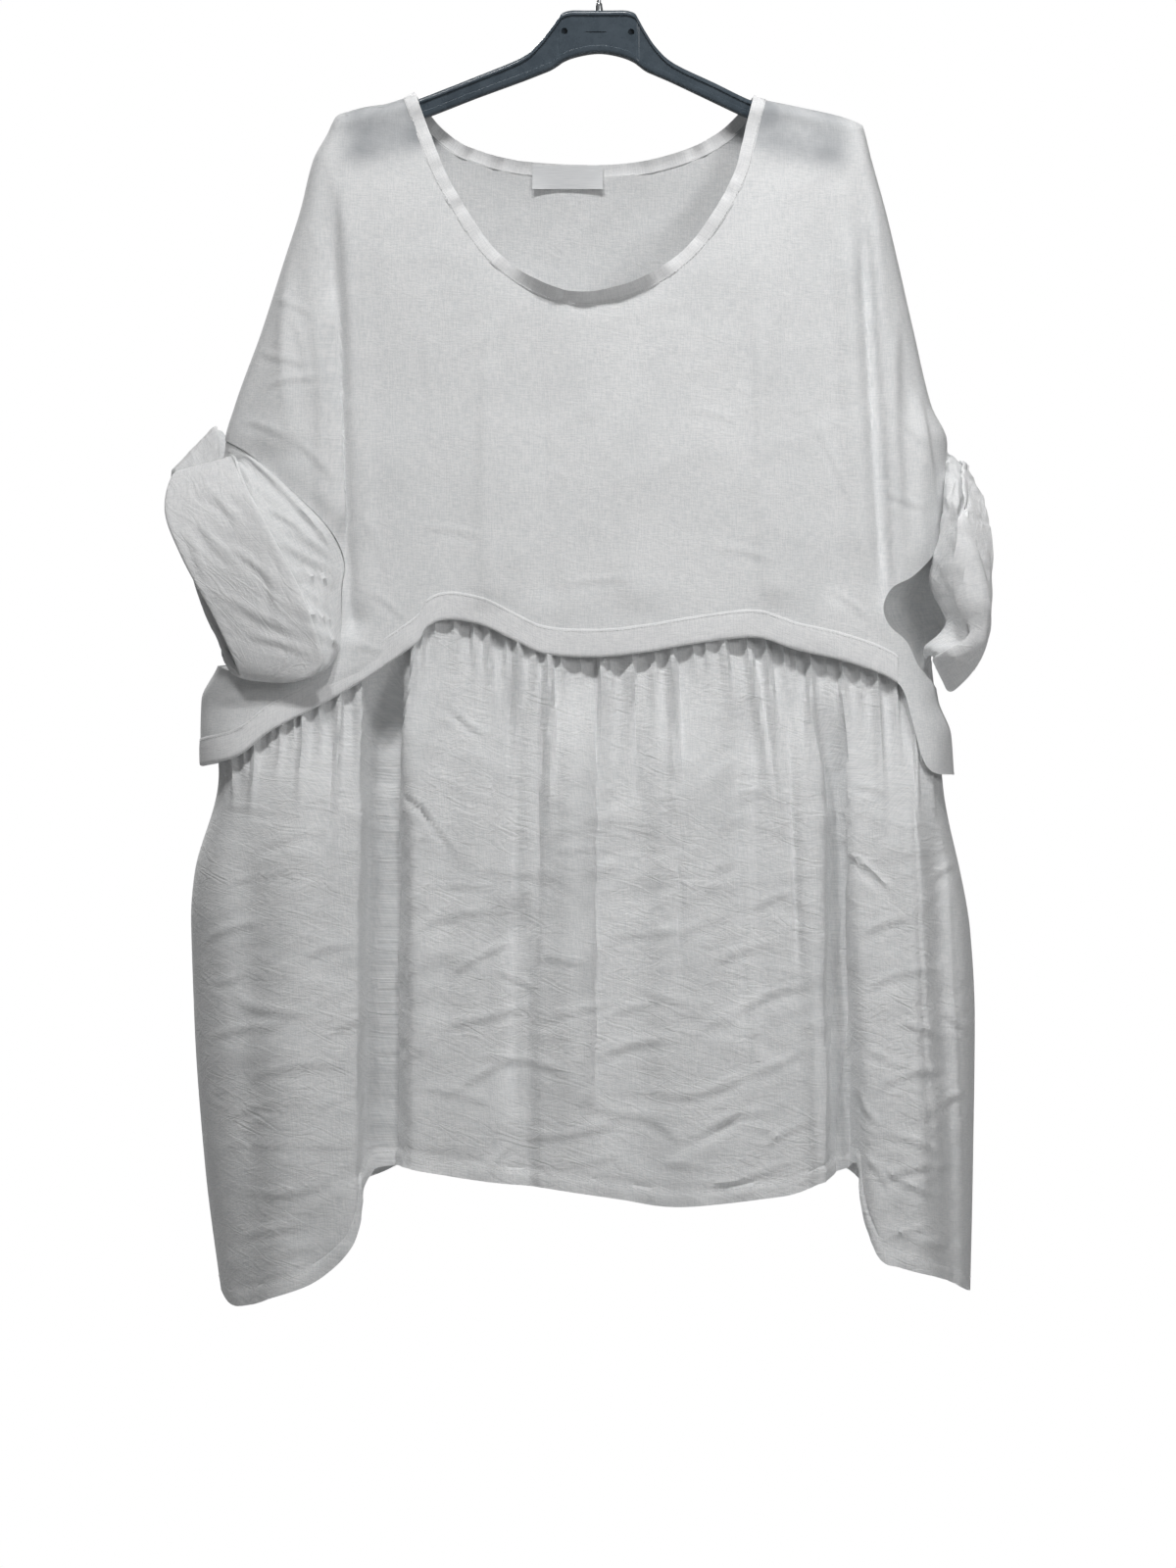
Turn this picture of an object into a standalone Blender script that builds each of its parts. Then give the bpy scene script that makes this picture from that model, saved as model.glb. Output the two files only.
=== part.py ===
"""A washed-linen tunic top hanging on a plastic shop hanger.

The origin is the inner crown of the hook, where a rail holds it. +Z is up, +X is the viewer's
right and the front faces -Y. Tables are in millimetres; the mesh is in metres.
"""

import math

import bmesh
import bpy
import numpy as np
from mathutils.geometry import delaunay_2d_cdt

MM = 0.001
SEAM_GAP = 0.3
ARMHOLE_GAP = 0.6
CLOTH = 1.2
BINDING_THICK = 2.0
BINDING_GAP = 0.7
BINDING_WIDE = 8.5
LABEL_THICK = 0.6
SHARP_DEGREES = 50
PANEL_STEP, PANEL_ACROSS = 30.0, 24.0
SHOULDER_ROUND = 10.0
HEM_BAND_TALL = 20.0
SEAM_ABOVE_HEM = 18.0
HEM_COUNT = 60
TURN_OVER = (4.0, 8.0)
STRIP_ROWS = (9.0, 19.0, 30.0)
BAND_END_X = 236.3
BAND_SLACK = 0.3
# How far in from the side each column of the turning cloth lies, as a share of the turn, and the
# height under which the skirt's seam behind the cloth needs the closer columns.
TURN_STEPS = (0.07, 0.28, 0.6)
TURN_STEPS_LOW = (0.03, 0.1, 0.22, 0.42, 0.68)
TURN_FINE_BELOW = -559.8
FOLD_COLUMNS = (-10.0, 0.0, 10.0)
SHOULDER_ROWS = (2.0, 6.5, 13.0)
# Least distances between the panel's points, and between them and its edges.
APART_CLOSE, APART_FINE, OFF_EDGE_CLOSE, OFF_EDGE_FINE = 3.5, 7.5, 1.5, 3.0
# Points along each edge line of the bodice.
SIDE_COUNT, ARM_COUNT, SHOULDER_COUNT = 6, 12, 6
HOLE_COUNT, HOLE_LEFT_FRONT_COUNT, NECK_FRONT_COUNT, NECK_BACK_COUNT = 13, 15, 37, 25
SKIRT_COLUMNS_FRONT, SKIRT_COLUMNS_BACK = 101, 65
SKIRT_ROWS = (0.0, 0.02, 0.06, 0.13, 0.24, 0.4, 0.58, 0.78, 1.0)
SLEEVE_SHARES = (0.0, 0.14, 0.3, 0.52, 0.68, 0.84, 1.0)
FRONT, BACK = -1.0, 1.0

# The arm and side outline, the fold line where the flat front begins, and how far the front
# and the back stand off the plane of the seams, from the shoulder tip down to the hem.
# z, x_left, x_right, fold_left, fold_right, deep_front, deep_back
BODY = (
    (-138.6, -207.5, 200.5, -197.3, 190.3, 11.5, 11.5),
    (-161.3, -212.9, 209.8, -202, 198.9, 12, 12),
    (-188.6, -227, 216.8, -209.8, 205.9, 17, 15),
    (-228.3, -237.1, 227.8, -214.5, 205.9, 23, 20),
    (-267.3, -249.6, 237.1, -211.4, 206.7, 27, 24),
    (-325.8, -268.3, 250.4, -207.5, 209, 31, 28),
    (-384.3, -289.4, 264.4, -203.6, 214.5, 35, 32),
    (-413.2, -297.2, 276.9, -202, 216.8, 38, 34),
    (-474, -298.7, 275.3, -198.1, 223.1, 43, 38),
    (-531.8, -300.3, 270.7, -194.2, 227, 48, 42),
    (-586.4, -301.9, 266, -192.7, 229.3, 53, 46),
    (-618.3, -315.9, 269.9, -207.5, 237.1, 56, 50),
    (-645.6, -316.7, 280, -234.8, 244.9, 59, 53),
    (-676.8, -315.1, 282.4, -258.2, 248.8, 63, 58),
    (-754.8, -324.5, 290.9, -262.1, 248.8, 72, 68),
    (-871.8, -321.4, 298.7, -250.4, 244.9, 84, 82),
    (-988.8, -312.8, 297.2, -238.7, 241, 94, 94),
    (-1098, -298.7, 294.8, -227, 237.1, 100, 102),
)
SHOULDER = (
    (-234.8, -107.4), (-214.5, -142.5), (-208.3, -153.5), (-199.7, -150.3),
    (-184.9, -146.4), (-169.3, -144.1), (-154.4, -139.4), (-129.5, -133.2),
    (104.5, -133.2), (131.8, -141), (158.3, -146.4), (187.2, -152.7),
    (202, -157.4), (211.4, -144.9), (233.2, -107.4),
)
# Seam and edge lines of the bodice, as x, z.
SHOULDER_LEFT = ((-154.4, -139.4), (-169.3, -144.1), (-184.9, -146.4), (-199.7, -150.3),
                 (-208.3, -153.5), (-212.9, -161.3))
SHOULDER_RIGHT = ((209.8, -161.3), (202, -157.4), (187.2, -152.7), (158.3, -146.4), (131.8, -141))
ARMHOLE_LEFT_FRONT = ((-297.2, -411.6), (-276.1, -424.1), (-240.2, -455.3), (-212.9, -483.4),
                      (-201.2, -508.4), (-202.8, -531.8), (-203.6, -563.7), (-209.8, -586.4),
                      (-228.5, -600.4), (-254.3, -604.3), (-281.6, -600.4), (-301.9, -591))
ARMHOLE_LEFT_BACK = ((-301.9, -591), (-275.3, -584.8), (-250.4, -559.8), (-240.2, -524.7),
                     (-242.6, -489.6), (-262.1, -450.6), (-297.2, -411.6))
ARMHOLE_RIGHT_FRONT = ((262.9, -609), (252.7, -591.8), (242.6, -572.3), (229.3, -559.8),
                       (224.6, -545), (231.7, -530.2), (245.7, -522.4), (256.6, -513),
                       (266.8, -500.6), (272.2, -485.7), (275.3, -450.6), (277.7, -418.7))
ARMHOLE_RIGHT_BACK = ((277.7, -418.7), (260.5, -466.2), (244.9, -513), (241, -552),
                      (247.3, -587.1), (262.9, -609))
NECK_FRONT = ((131.8, -141), (126.4, -162), (122.5, -179.2), (116.2, -202.6), (100.6, -233),
              (80.3, -261.1), (60.1, -279), (35.1, -293.9), (7, -302.4), (-15.6, -304.8),
              (-34.3, -301.7), (-53.8, -293.9), (-72.5, -282.2), (-91.3, -265), (-110, -238.5),
              (-129.5, -204.2), (-144.3, -166.7), (-154.4, -139.4))
NECK_BACK = ((-154.4, -139.4), (-142.7, -155.8), (-128.7, -171.4), (-110, -183.9),
             (-81.9, -193.2), (-53.8, -197.9), (-2.3, -200.3), (35.9, -197.1), (73.3, -187),
             (100.6, -173), (119.3, -155.8), (131.8, -141))
HEM_FRONT = ((-312.8, -669.8), (-284.7, -662), (-259, -642.5), (-220, -622.2), (-184.1, -601.2),
             (-156.8, -582.5), (-142.7, -572.3), (-134.9, -559.8), (-118.6, -554.4),
             (-91.3, -559.1), (-65.5, -571.5), (-41.3, -581.7), (0, -584), (38.2, -580.1),
             (69.4, -574.7), (101.4, -570), (127.9, -569.2), (156, -578.6), (190.3, -586.4),
             (222.3, -597.3), (238.7, -609), (247.3, -636.3), (255.1, -665.1), (264.4, -676.1),
             (280.8, -677.6))
HEM_BACK = ((-312.8, -669.8), (-273.8, -659.7), (-219.2, -633.9), (-164.6, -610.5),
            (-102.2, -598.8), (-39.8, -594.2), (22.6, -592.6), (85, -595.7), (147.4, -605.1),
            (202, -623.8), (248.8, -657.3), (280.8, -677.6))

# The skirt's free hems, as x, z.
SKIRT_HEM_FRONT = ((-298.7, -1084.8), (-287, -1095.7), (-269.9, -1094.1), (-251.2, -1087.1),
                   (-223.1, -1076.2), (-203.6, -1062.2), (-191.1, -1046.6), (-184.9, -1027.8),
                   (-181, -1006), (-170, -990.4), (-160.7, -984.2), (-130.3, -989.6),
                   (-81.1, -997.4), (-41.3, -1001.3), (12.5, -1009.9), (54.6, -1016.1),
                   (96.7, -1013.8), (138.8, -1009.1), (159.1, -1004.4), (177.1, -995.9),
                   (192.7, -988.8), (203.6, -982.6), (206.7, -1008.3), (211.4, -1034.9),
                   (221.5, -1058.3), (237.1, -1063.7), (267.5, -1073.1), (294.8, -1087.1))
SKIRT_HEM_BACK = ((-298.7, -1084.8), (-281.6, -1074.6), (-250.4, -1045), (-211.4, -1013.8),
                  (-175.5, -999.8), (-144.3, -987.3), (-71, -981), (7, -984.2), (85, -988.8),
                  (147.4, -988.8), (181, -993.5), (202.8, -999.8), (237.1, -1035.6),
                  (268.3, -1070.7), (294.8, -1087.1))

# Which point of the hem, counted along its table, each x of the waist seam hangs down to.
# x_seam, hem_point
HANG_FRONT = ((-316.7, 0), (-186.4, 8), (-166.1, 9), (-155.2, 10), (172.4, 19),
              (183.3, 20.4), (197.3, 22.6), (282.4, 27))
HANG_BACK = ((-316.7, 0), (-172.4, 4.4), (-8.6, 6.8), (163, 10), (282.4, 14))

# Long soft folds of the bodice: x at the top and at the bottom, where it starts and ends, half its
# width, and how far it stands out of the cloth.
# x_top, z_top, x_low, z_low, half_wide, out
BODICE_FRONT_FOLDS = (
    (-216.1, -189.3, -194.2, -552, 9, -9),
    (-203.6, -177.6, -184.9, -536.4, 9, 3),
    (-242.6, -263.4, -254.3, -403.8, 16, 4),
    (-82.7, -224.4, -86.6, -527.1, 20, 3),
    (-46, -310.2, -42.9, -527.1, 14, -2.5),
    (22.6, -318, 30.4, -527.1, 26, 2),
    (127.9, -208.8, 139.6, -527.1, 18, 3),
    (178.6, -185.4, 186.4, -527.1, 12, -3),
    (205.9, -177.6, 227, -528.6, 8, -7),
    (216.1, -177.6, 234.8, -528.6, 9, 3),
    (252.7, -372.6, 259.7, -497.4, 8, 5),
)
BODICE_BACK_FOLDS = (
    (-219.2, -189.3, -203.6, -559.8, 12, -8),
    (-149, -216.6, -156.8, -559.8, 22, 4),
    (-63.2, -240, -55.4, -553.6, 18, -3),
    (22.6, -232.2, 22.6, -553.6, 26, 4),
    (116.2, -216.6, 124, -559.8, 18, -3),
    (213.7, -185.4, 217.6, -544.2, 12, -7),
)
# Long folds of the skirt, in the same columns: the two deep valleys, the sharp ridges beside them
# and the rolls between.
SKIRT_FRONT_FOLDS = (
    (-164.6, -567.6, -168.5, -1098, 12, -30),
    (-149, -583.2, -149, -1098, 14, 7),
    (-186.4, -622.2, -194.2, -1098, 20, 6),
    (-242.6, -653.4, -242.6, -1098, 30, 6),
    (-277.7, -684.6, -272.2, -1098, 16, -6),
    (-86.6, -598.8, -110, -1043.4, 22, 5),
    (-57.7, -598.8, -67.1, -1043.4, 16, -5),
    (-19.5, -598.8, -24.2, -1043.4, 22, 8),
    (22.6, -598.8, 28.9, -1043.4, 22, -5),
    (73.3, -598.8, 81.1, -1043.4, 24, 8),
    (124, -591, 124, -1043.4, 20, -4),
    (164.6, -598.8, 174.7, -1043.4, 9, 8),
    (175.5, -606.6, 200.5, -1098, 12, -26),
    (195.8, -637.8, 220, -1098, 12, 5),
    (244.9, -637.8, 248.8, -1098, 16, 8),
    (264.4, -684.6, 278.5, -1098, 10, -12),
)
SKIRT_BACK_FOLDS = (
    (-254.3, -653.4, -266, -1098, 14, -16),
    (-211.4, -637.8, -211.4, -1098, 24, 8),
    (-141.2, -622.2, -149, -1098, 14, -14),
    (-86.6, -622.2, -90.5, -1098, 24, 8),
    (-28.1, -614.4, -24.2, -1098, 16, -10),
    (38.2, -614.4, 46, -1098, 26, 9),
    (104.5, -622.2, 116.2, -1098, 14, -14),
    (163, -630, 174.7, -1098, 24, 8),
    (221.5, -653.4, 237.1, -1098, 14, -16),
)
# Gathers under the waist seam: where each stands, how far down it runs and how proud it is.
# x, run, proud
GATHERS_FRONT = (
    (-295.6, 60, 2.5), (-272.2, 80, 3), (-250.4, 70, 3), (-233.2, 110, 4), (-218.4, 90, 3.5),
    (-202.8, 180, 4.5), (-187.2, 120, 4), (-145.9, 160, 4), (-132.6, 90, 4), (-115.4, 220, 5),
    (-99.8, 120, 4), (-85, 260, 5), (-70.2, 140, 4.5), (-56.9, 100, 4),
    (-41.3, 300, 5), (-28.9, 120, 4), (-14, 90, 4), (1.6, 240, 5), (14.8, 100, 4),
    (28.1, 160, 4.5), (42.1, 120, 4), (56.9, 260, 5), (72.5, 120, 4),
    (85, 90, 3.5), (98.3, 200, 4.5), (115.4, 130, 4.5), (133.4, 180, 4.5),
    (149.8, 100, 4), (164.6, 320, 4.5), (191.9, 130, 4), (206.7, 90, 4),
    (220, 180, 4.5), (234, 120, 4), (250.4, 90, 3), (268.3, 70, 2.5),
)
GATHERS_BACK = (
    (-289.4, 70, 3), (-264.4, 110, 3.5), (-238.7, 90, 4), (-219.2, 180, 4.5),
    (-197.3, 120, 4), (-178.6, 220, 5), (-157.6, 110, 4), (-135.7, 160, 4.5),
    (-116.2, 260, 5), (-95.2, 120, 4), (-76.4, 180, 4.5), (-54.6, 110, 4),
    (-35.1, 240, 5), (-13.3, 130, 4), (6.2, 190, 4.5), (28.1, 120, 4),
    (47.6, 280, 5), (69.4, 120, 4), (90.5, 170, 4.5), (110, 120, 4),
    (131, 240, 5), (152.1, 110, 4), (173.2, 190, 4.5), (194.2, 120, 4),
    (215.3, 150, 4), (236.3, 90, 3.5), (259.7, 70, 3),
)
FOLD_STARTS, FOLD_ENDS = 90.0, 25.0
GATHER_HALF, GATHER_PROUD, GATHER_STARTS = 6.0, 1.4, 12.0
SIDE_FADE, TOP_FADE_FROM, TOP_FADE = 22.0, 8.0, 40.0
# How far the skirt hangs behind the bodice's hem: past the seam, more at the sides and more below,
# and how far down it comes forward again.
BEHIND, BEHIND_SIDES, BEHIND_LOW = 1.0, 2.0, 6.5
BEHIND_LOW_OVER, BEHIND_ENDS_FROM, BEHIND_ENDS = 14.0, 6.0, 120.0

# Sleeve sections, each through eight stations round the tube from the top of the arm, down its
# front, under it and up its back. share is how far along the sleeve the section lies.
SLEEVE_LEFT = (
    (0.52, ((-301.9, -438.2, 0), (-272.2, -462.3, -48), (-244.9, -513, -60), (-218.4, -572.3, -62),
            (-250.4, -597.3, -60), (-292.5, -587.9, -24), (-287.8, -520.8, 32), (-301.9, -408.5, 20))),
    (1.0, ((-333.1, -439.7, 0), (-341.6, -467.8, -30), (-327.6, -505.2, -52), (-299.5, -555.2, -58),
           (-279.2, -598.1, -52), (-303.4, -580.1, -20), (-326.8, -525.5, 24), (-343.2, -460, 16))),
)
SLEEVE_RIGHT = (
    (0.3, ((286.3, -424.1, 1), (280.8, -466.2, -28), (266, -525.5, -46), (267.5, -556.7, -18),
           (259, -586.4, -26), (259.7, -572.3, 8), (261.3, -520.8, 42), (272.2, -466.2, 30))),
    (0.52, ((288.6, -428.8, 2), (283.1, -470.9, -44), (287.8, -520.8, -52), (295.6, -567.6, -52),
            (267.5, -582.5, -42), (269.1, -575.4, -4), (275.3, -524, 40), (283.1, -462.3, 32))),
    (1.0, ((295.6, -441.3, 4), (305.8, -470.9, -28), (309.7, -509.9, -42), (304.2, -575.4, -44),
           (283.1, -606.6, -34), (278.5, -600.4, -10), (303.4, -536.4, 32), (305, -477.2, 28))),
)
# How far the turned-up cuff's free edge stands off the sleeve at each of the eight stations.
CUFF_LEFT_LIFT = (3, 5, 6, 6, 2.5, 1.5, 5, 4)
CUFF_RIGHT_LIFT = (3, 5, 6, 6, 4, 3, 5, 4)
CUFF_START, CUFF_OFF = 3, 0.4
# Which point of the armhole ring each of the eight stations starts from.
MARKS_LEFT = (0, 2.8, 5.6, 8.8, 12, 15.5, 19.5, 23)
MARKS_RIGHT = (0, 3, 6, 9, 12, 15, 18, 21)

# The hanger's plastic body from tip to tip: x, z_top, z_low, half its thickness.
HANGER = (
    (-205.1, -160.5, -166.7, 3.5), (-202, -155.8, -168.3, 4.5),
    (-194.2, -151.9, -168.3, 5.0), (-180.2, -148.4, -165.9, 5.0),
    (-164.6, -145.3, -162, 5.0), (-150.5, -142.5, -158.9, 5.0),
    (-133.4, -136.3, -153.5, 5.0), (-97.5, -122.3, -139.4, 6.0),
    (-61.6, -107.4, -126.2, 6.5), (-47.6, -95.7, -120.7, 7.0),
    (-38.2, -84, -116.8, 7.5), (-32, -75.5, -112.9, 8.0),
    (-28.9, -72, -110.6, 8.0), (-21.8, -70, -107.4, 8.0),
    (-10.9, -70, -104.7, 8.0), (0, -70, -103.5, 8.0),
    (10.9, -70, -104.7, 8.0), (21.1, -70, -107.4, 8.0),
    (28.1, -72, -110.6, 8.0), (31.2, -76.2, -112.9, 8.0),
    (37.4, -87.2, -117.6, 7.5), (46, -99.6, -121.5, 7.0),
    (60.1, -112.1, -127.7, 6.5), (92.8, -127.7, -143.3, 6.0),
    (117.8, -139.8, -155, 5.0), (134.2, -145.3, -159.7, 5.0),
    (147.4, -146.8, -162.8, 5.0), (166.9, -151.1, -166.7, 5.0),
    (187.2, -155.8, -169.8, 5.0), (195.8, -159.7, -171.4, 4.5),
    (198.9, -164.4, -170.6, 3.5),
)
HANGER_EDGE = 2.6
HOOK_WIRE = 1.7
HOOK_INNER = 17.0
# The shank's centre line above the collar, as x, z, and the crown's start, end and step in degrees.
SHANK = ((0.0, -54.0), (0.8, -48.0), (4.5, -41.5), (10.0, -36.0))
CROWN_DEGREES = (-42, 199, 12)
COLLAR_TALL, COLLAR_LOW_R, COLLAR_TOP_R = 6.0, 3.2, 2.6
BLOCK_TOP = -70
LABEL = (-53, 3.1, -191.7, -210.4)


def hermite(table, at):
    """Monotone cubic through the rows (key, value...) of a table, one column per value."""
    rows = np.array(sorted(table), float)
    key = rows[:, 0]
    at = np.clip(np.asarray(at, float), key[0], key[-1])
    k = np.clip(np.searchsorted(key, at, side="right") - 1, 0, len(key) - 2)
    step = np.diff(key)
    out = []
    for column in rows[:, 1:].T:
        slope = np.diff(column) / step
        tangent = np.zeros(len(key))
        same = slope[:-1] * slope[1:] > 0
        tangent[1:-1][same] = (2 * slope[:-1] * slope[1:] / (slope[:-1] + slope[1:] + 1e-12))[same]
        tangent[0], tangent[-1] = slope[0], slope[-1]
        h = step[k]
        t = (at - key[k]) / h
        out.append(
            column[k] * (1 + 2 * t) * (1 - t) ** 2
            + column[k + 1] * t * t * (3 - 2 * t)
            + h * tangent[k] * t * (1 - t) ** 2
            + h * tangent[k + 1] * t * t * (t - 1)
        )
    return out


def rounded(t):
    """0 to 1 as a quarter circle: the cloth turning over an edge."""
    t = np.clip(t, 0.0, 1.0)
    return np.sqrt(np.maximum(0.0, 1.0 - (1.0 - t) ** 2))


def smooth(t):
    t = np.clip(t, 0.0, 1.0)
    return t * t * (3.0 - 2.0 * t)


def long_folds(x, z, folds):
    """Sum of the long folds, each a bell across a straight line that fades in and out."""
    out = np.zeros(np.broadcast(x, z).shape)
    for x_top, z_top, x_low, z_low, half, proud in folds:
        down = np.clip((z_top - z) / (z_top - z_low), 0.0, 1.0)
        centre = x_top + (x_low - x_top) * down
        fade = smooth((z_top - z) / FOLD_STARTS) * smooth((z - z_low) / FOLD_ENDS + 1.0)
        out = out + proud * fade * np.exp(-(((x - centre) / half) ** 2))
    return out


def gathers(x, drop, rows):
    """Small pleats that start at the seam: drop is how far below it a point lies."""
    out = np.zeros(np.broadcast(x, drop).shape)
    for centre, run, proud in rows:
        fade = smooth(drop / GATHER_STARTS) * (1.0 - smooth(drop / run))
        out = out + GATHER_PROUD * proud * fade * np.exp(-(((x - centre) / GATHER_HALF) ** 2))
    return out


def stand_off(x, z, side):
    """How far the plain cloth stands off the plane of the seams at x, z."""
    left, right, fold_left, fold_right, front, back = hermite(BODY, z)
    shoulder = np.interp(x, *np.array(SHOULDER).T)
    deep = front if side == FRONT else back
    across = rounded((x - left) / (fold_left - left)) * rounded((right - x) / (right - fold_right))
    return deep * across * rounded((shoulder - z) / SHOULDER_ROUND)


def edge_fade(x, z):
    """0 on the side seams, 1 a little way in, so that folds die out at the seams."""
    left, right = hermite(BODY, z)[:2]
    shoulder = np.interp(x, *np.array(SHOULDER).T)
    return (smooth((x - left) / SIDE_FADE) * smooth((right - x) / SIDE_FADE)
            * smooth((shoulder - z - TOP_FADE_FROM) / TOP_FADE))


def bodice(x, z, side):
    """y of the bodice's middle surface."""
    folds = BODICE_FRONT_FOLDS if side == FRONT else BODICE_BACK_FOLDS
    off = stand_off(x, z, side) + long_folds(x, z, folds) * edge_fade(x, z)
    return side * np.maximum(off, SEAM_GAP / 2)


def along(points, count):
    """count points at even steps along a polyline, its two ends kept."""
    points = np.array(points, float)
    run = np.concatenate([[0], np.cumsum(np.linalg.norm(np.diff(points, axis=0), axis=1))])
    at = np.linspace(0, run[-1], count)
    return np.stack([np.interp(at, run, column) for column in points.T], axis=1)


def along_cloth(line, count, side, turn_ends=False):
    """count points at even steps along a line drawn on the cloth, measured on the cloth itself.

    turn_ends adds two close points at each end, where the line turns over the shoulder.
    """
    flat = along(line, 600)
    y = bodice(flat[:, 0], flat[:, 1], side)
    y[0] = y[-1] = 0.0
    step = np.linalg.norm(np.diff(np.stack([flat[:, 0], y, flat[:, 1]], axis=1), axis=0), axis=1)
    run = np.concatenate([[0], np.cumsum(step)])
    at = np.linspace(0, run[-1], count)
    if turn_ends:
        ends = np.array(TURN_OVER)
        at = np.sort(np.concatenate([at, ends, run[-1] - ends]))
    return np.stack([np.interp(at, run, column) for column in flat.T], axis=1)


def inside(polygon, points):
    x, y = points[:, 0], points[:, 1]
    odd = np.zeros(len(points), bool)
    for (x0, y0), (x1, y1) in zip(polygon, np.roll(polygon, -1, axis=0)):
        crosses = (y0 > y) != (y1 > y)
        with np.errstate(divide="ignore", invalid="ignore"):
            odd ^= crosses & (x < (x1 - x0) * (y - y0) / (y1 - y0) + x0)
    return odd


def edge_distance(polygon, points):
    best = np.full(len(points), 1e9)
    for a, b in zip(polygon, np.roll(polygon, -1, axis=0)):
        span = b - a
        t = np.clip(((points - a) @ span) / max(span @ span, 1e-9), 0, 1)
        best = np.minimum(best, np.linalg.norm(points - a - t[:, None] * span, axis=1))
    return best


def thinned(wanted, kept, apart):
    """Adds each wanted point that lies at least apart from every kept one."""
    kept = list(kept)
    for point in wanted:
        if not kept or np.min(np.linalg.norm(np.array(kept) - point, axis=1)) >= apart:
            kept.append(point)
    return kept


def surface_normals(points, faces):
    total = np.zeros_like(points)
    for face in faces:
        corners = points[list(face)]
        normal = np.zeros(3)
        for i in range(1, len(face) - 1):
            normal += np.cross(corners[i] - corners[0], corners[i + 1] - corners[0])
        for vertex in face:
            total[vertex] += normal
    return total / np.maximum(np.linalg.norm(total, axis=1, keepdims=True), 1e-12)


def material(name, colour, roughness, metallic=0.0):
    made = bpy.data.materials.new(name)
    made.use_nodes = True
    shader = made.node_tree.nodes["Principled BSDF"]
    shader.inputs["Base Color"].default_value = (*colour, 1.0)
    shader.inputs["Roughness"].default_value = roughness
    shader.inputs["Metallic"].default_value = metallic
    return made


def add_mesh(name, points, faces, look):
    mesh = bpy.data.meshes.new(name)
    mesh.from_pydata((np.array(points) * MM).tolist(), [], [list(face) for face in faces])
    mesh.validate()
    mesh.materials.append(look)
    mesh.shade_smooth()
    mesh.set_sharp_from_angle(angle=math.radians(SHARP_DEGREES))
    made = bpy.data.objects.new(name, mesh)
    bpy.context.collection.objects.link(made)
    return made


def triangles(points, faces):
    """The faces with each quad cut along its shorter diagonal, so that both sides of a wall match."""
    cut = []
    for face in faces:
        if len(face) == 3:
            cut.append(tuple(face))
            continue
        a, b, c, d = face
        if np.linalg.norm(points[a] - points[c]) <= np.linalg.norm(points[b] - points[d]):
            cut += [(a, b, c), (a, c, d)]
        else:
            cut += [(a, b, d), (b, c, d)]
    return cut


def wall(name, points, faces, normals, thick, look):
    """A wall of this thickness about an open surface, closed with a rim along its free edges."""
    points, normals = np.array(points, float), np.array(normals, float)
    faces = triangles(points, faces)
    count = len(points)
    both = np.concatenate([points + normals * thick / 2, points - normals * thick / 2])
    sides = [tuple(face) for face in faces]
    sides += [tuple(count + v for v in reversed(face)) for face in faces]
    directed = {}
    for face in faces:
        for a, b in zip(face, (*face[1:], face[0])):
            directed[(a, b)] = True
    for a, b in directed:
        if (b, a) not in directed:
            sides.append((b, a, count + a, count + b))
    return add_mesh(name, both, sides, look)


def grid_faces(rows, columns, closed=False):
    """Quads over rows of points, turned so that right hand over rows gives the outside."""
    faces = []
    last = columns if closed else columns - 1
    for i in range(rows - 1):
        for j in range(last):
            k = (j + 1) % columns
            faces.append((i * columns + j, i * columns + k, (i + 1) * columns + k,
                          (i + 1) * columns + j))
    return faces


def seam_normals(points, normals, lines):
    """Normals square to the side and shoulder seams and in their plane, where two panels butt.

    Each line is a run of points anticlockwise round the panel, seen from the front.
    """
    normals = normals.copy()
    for line in lines:
        tangent = np.gradient(points[line], axis=0)
        outward = np.stack([tangent[:, 2], np.zeros(len(line)), -tangent[:, 0]], axis=1)
        normals[line] = outward / np.linalg.norm(outward, axis=1, keepdims=True)
    return normals


def on_outline(z, column):
    """The point of the outline at this height: column 0 on the left, 1 on the right."""
    return (float(hermite(BODY, z)[column]), z)


def outline_run(z_from, z_to, column, count):
    return np.array([on_outline(z, column) for z in np.linspace(z_from, z_to, count)])


def pinned(line, first, last):
    return [first, *line[1:-1], last]


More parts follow.
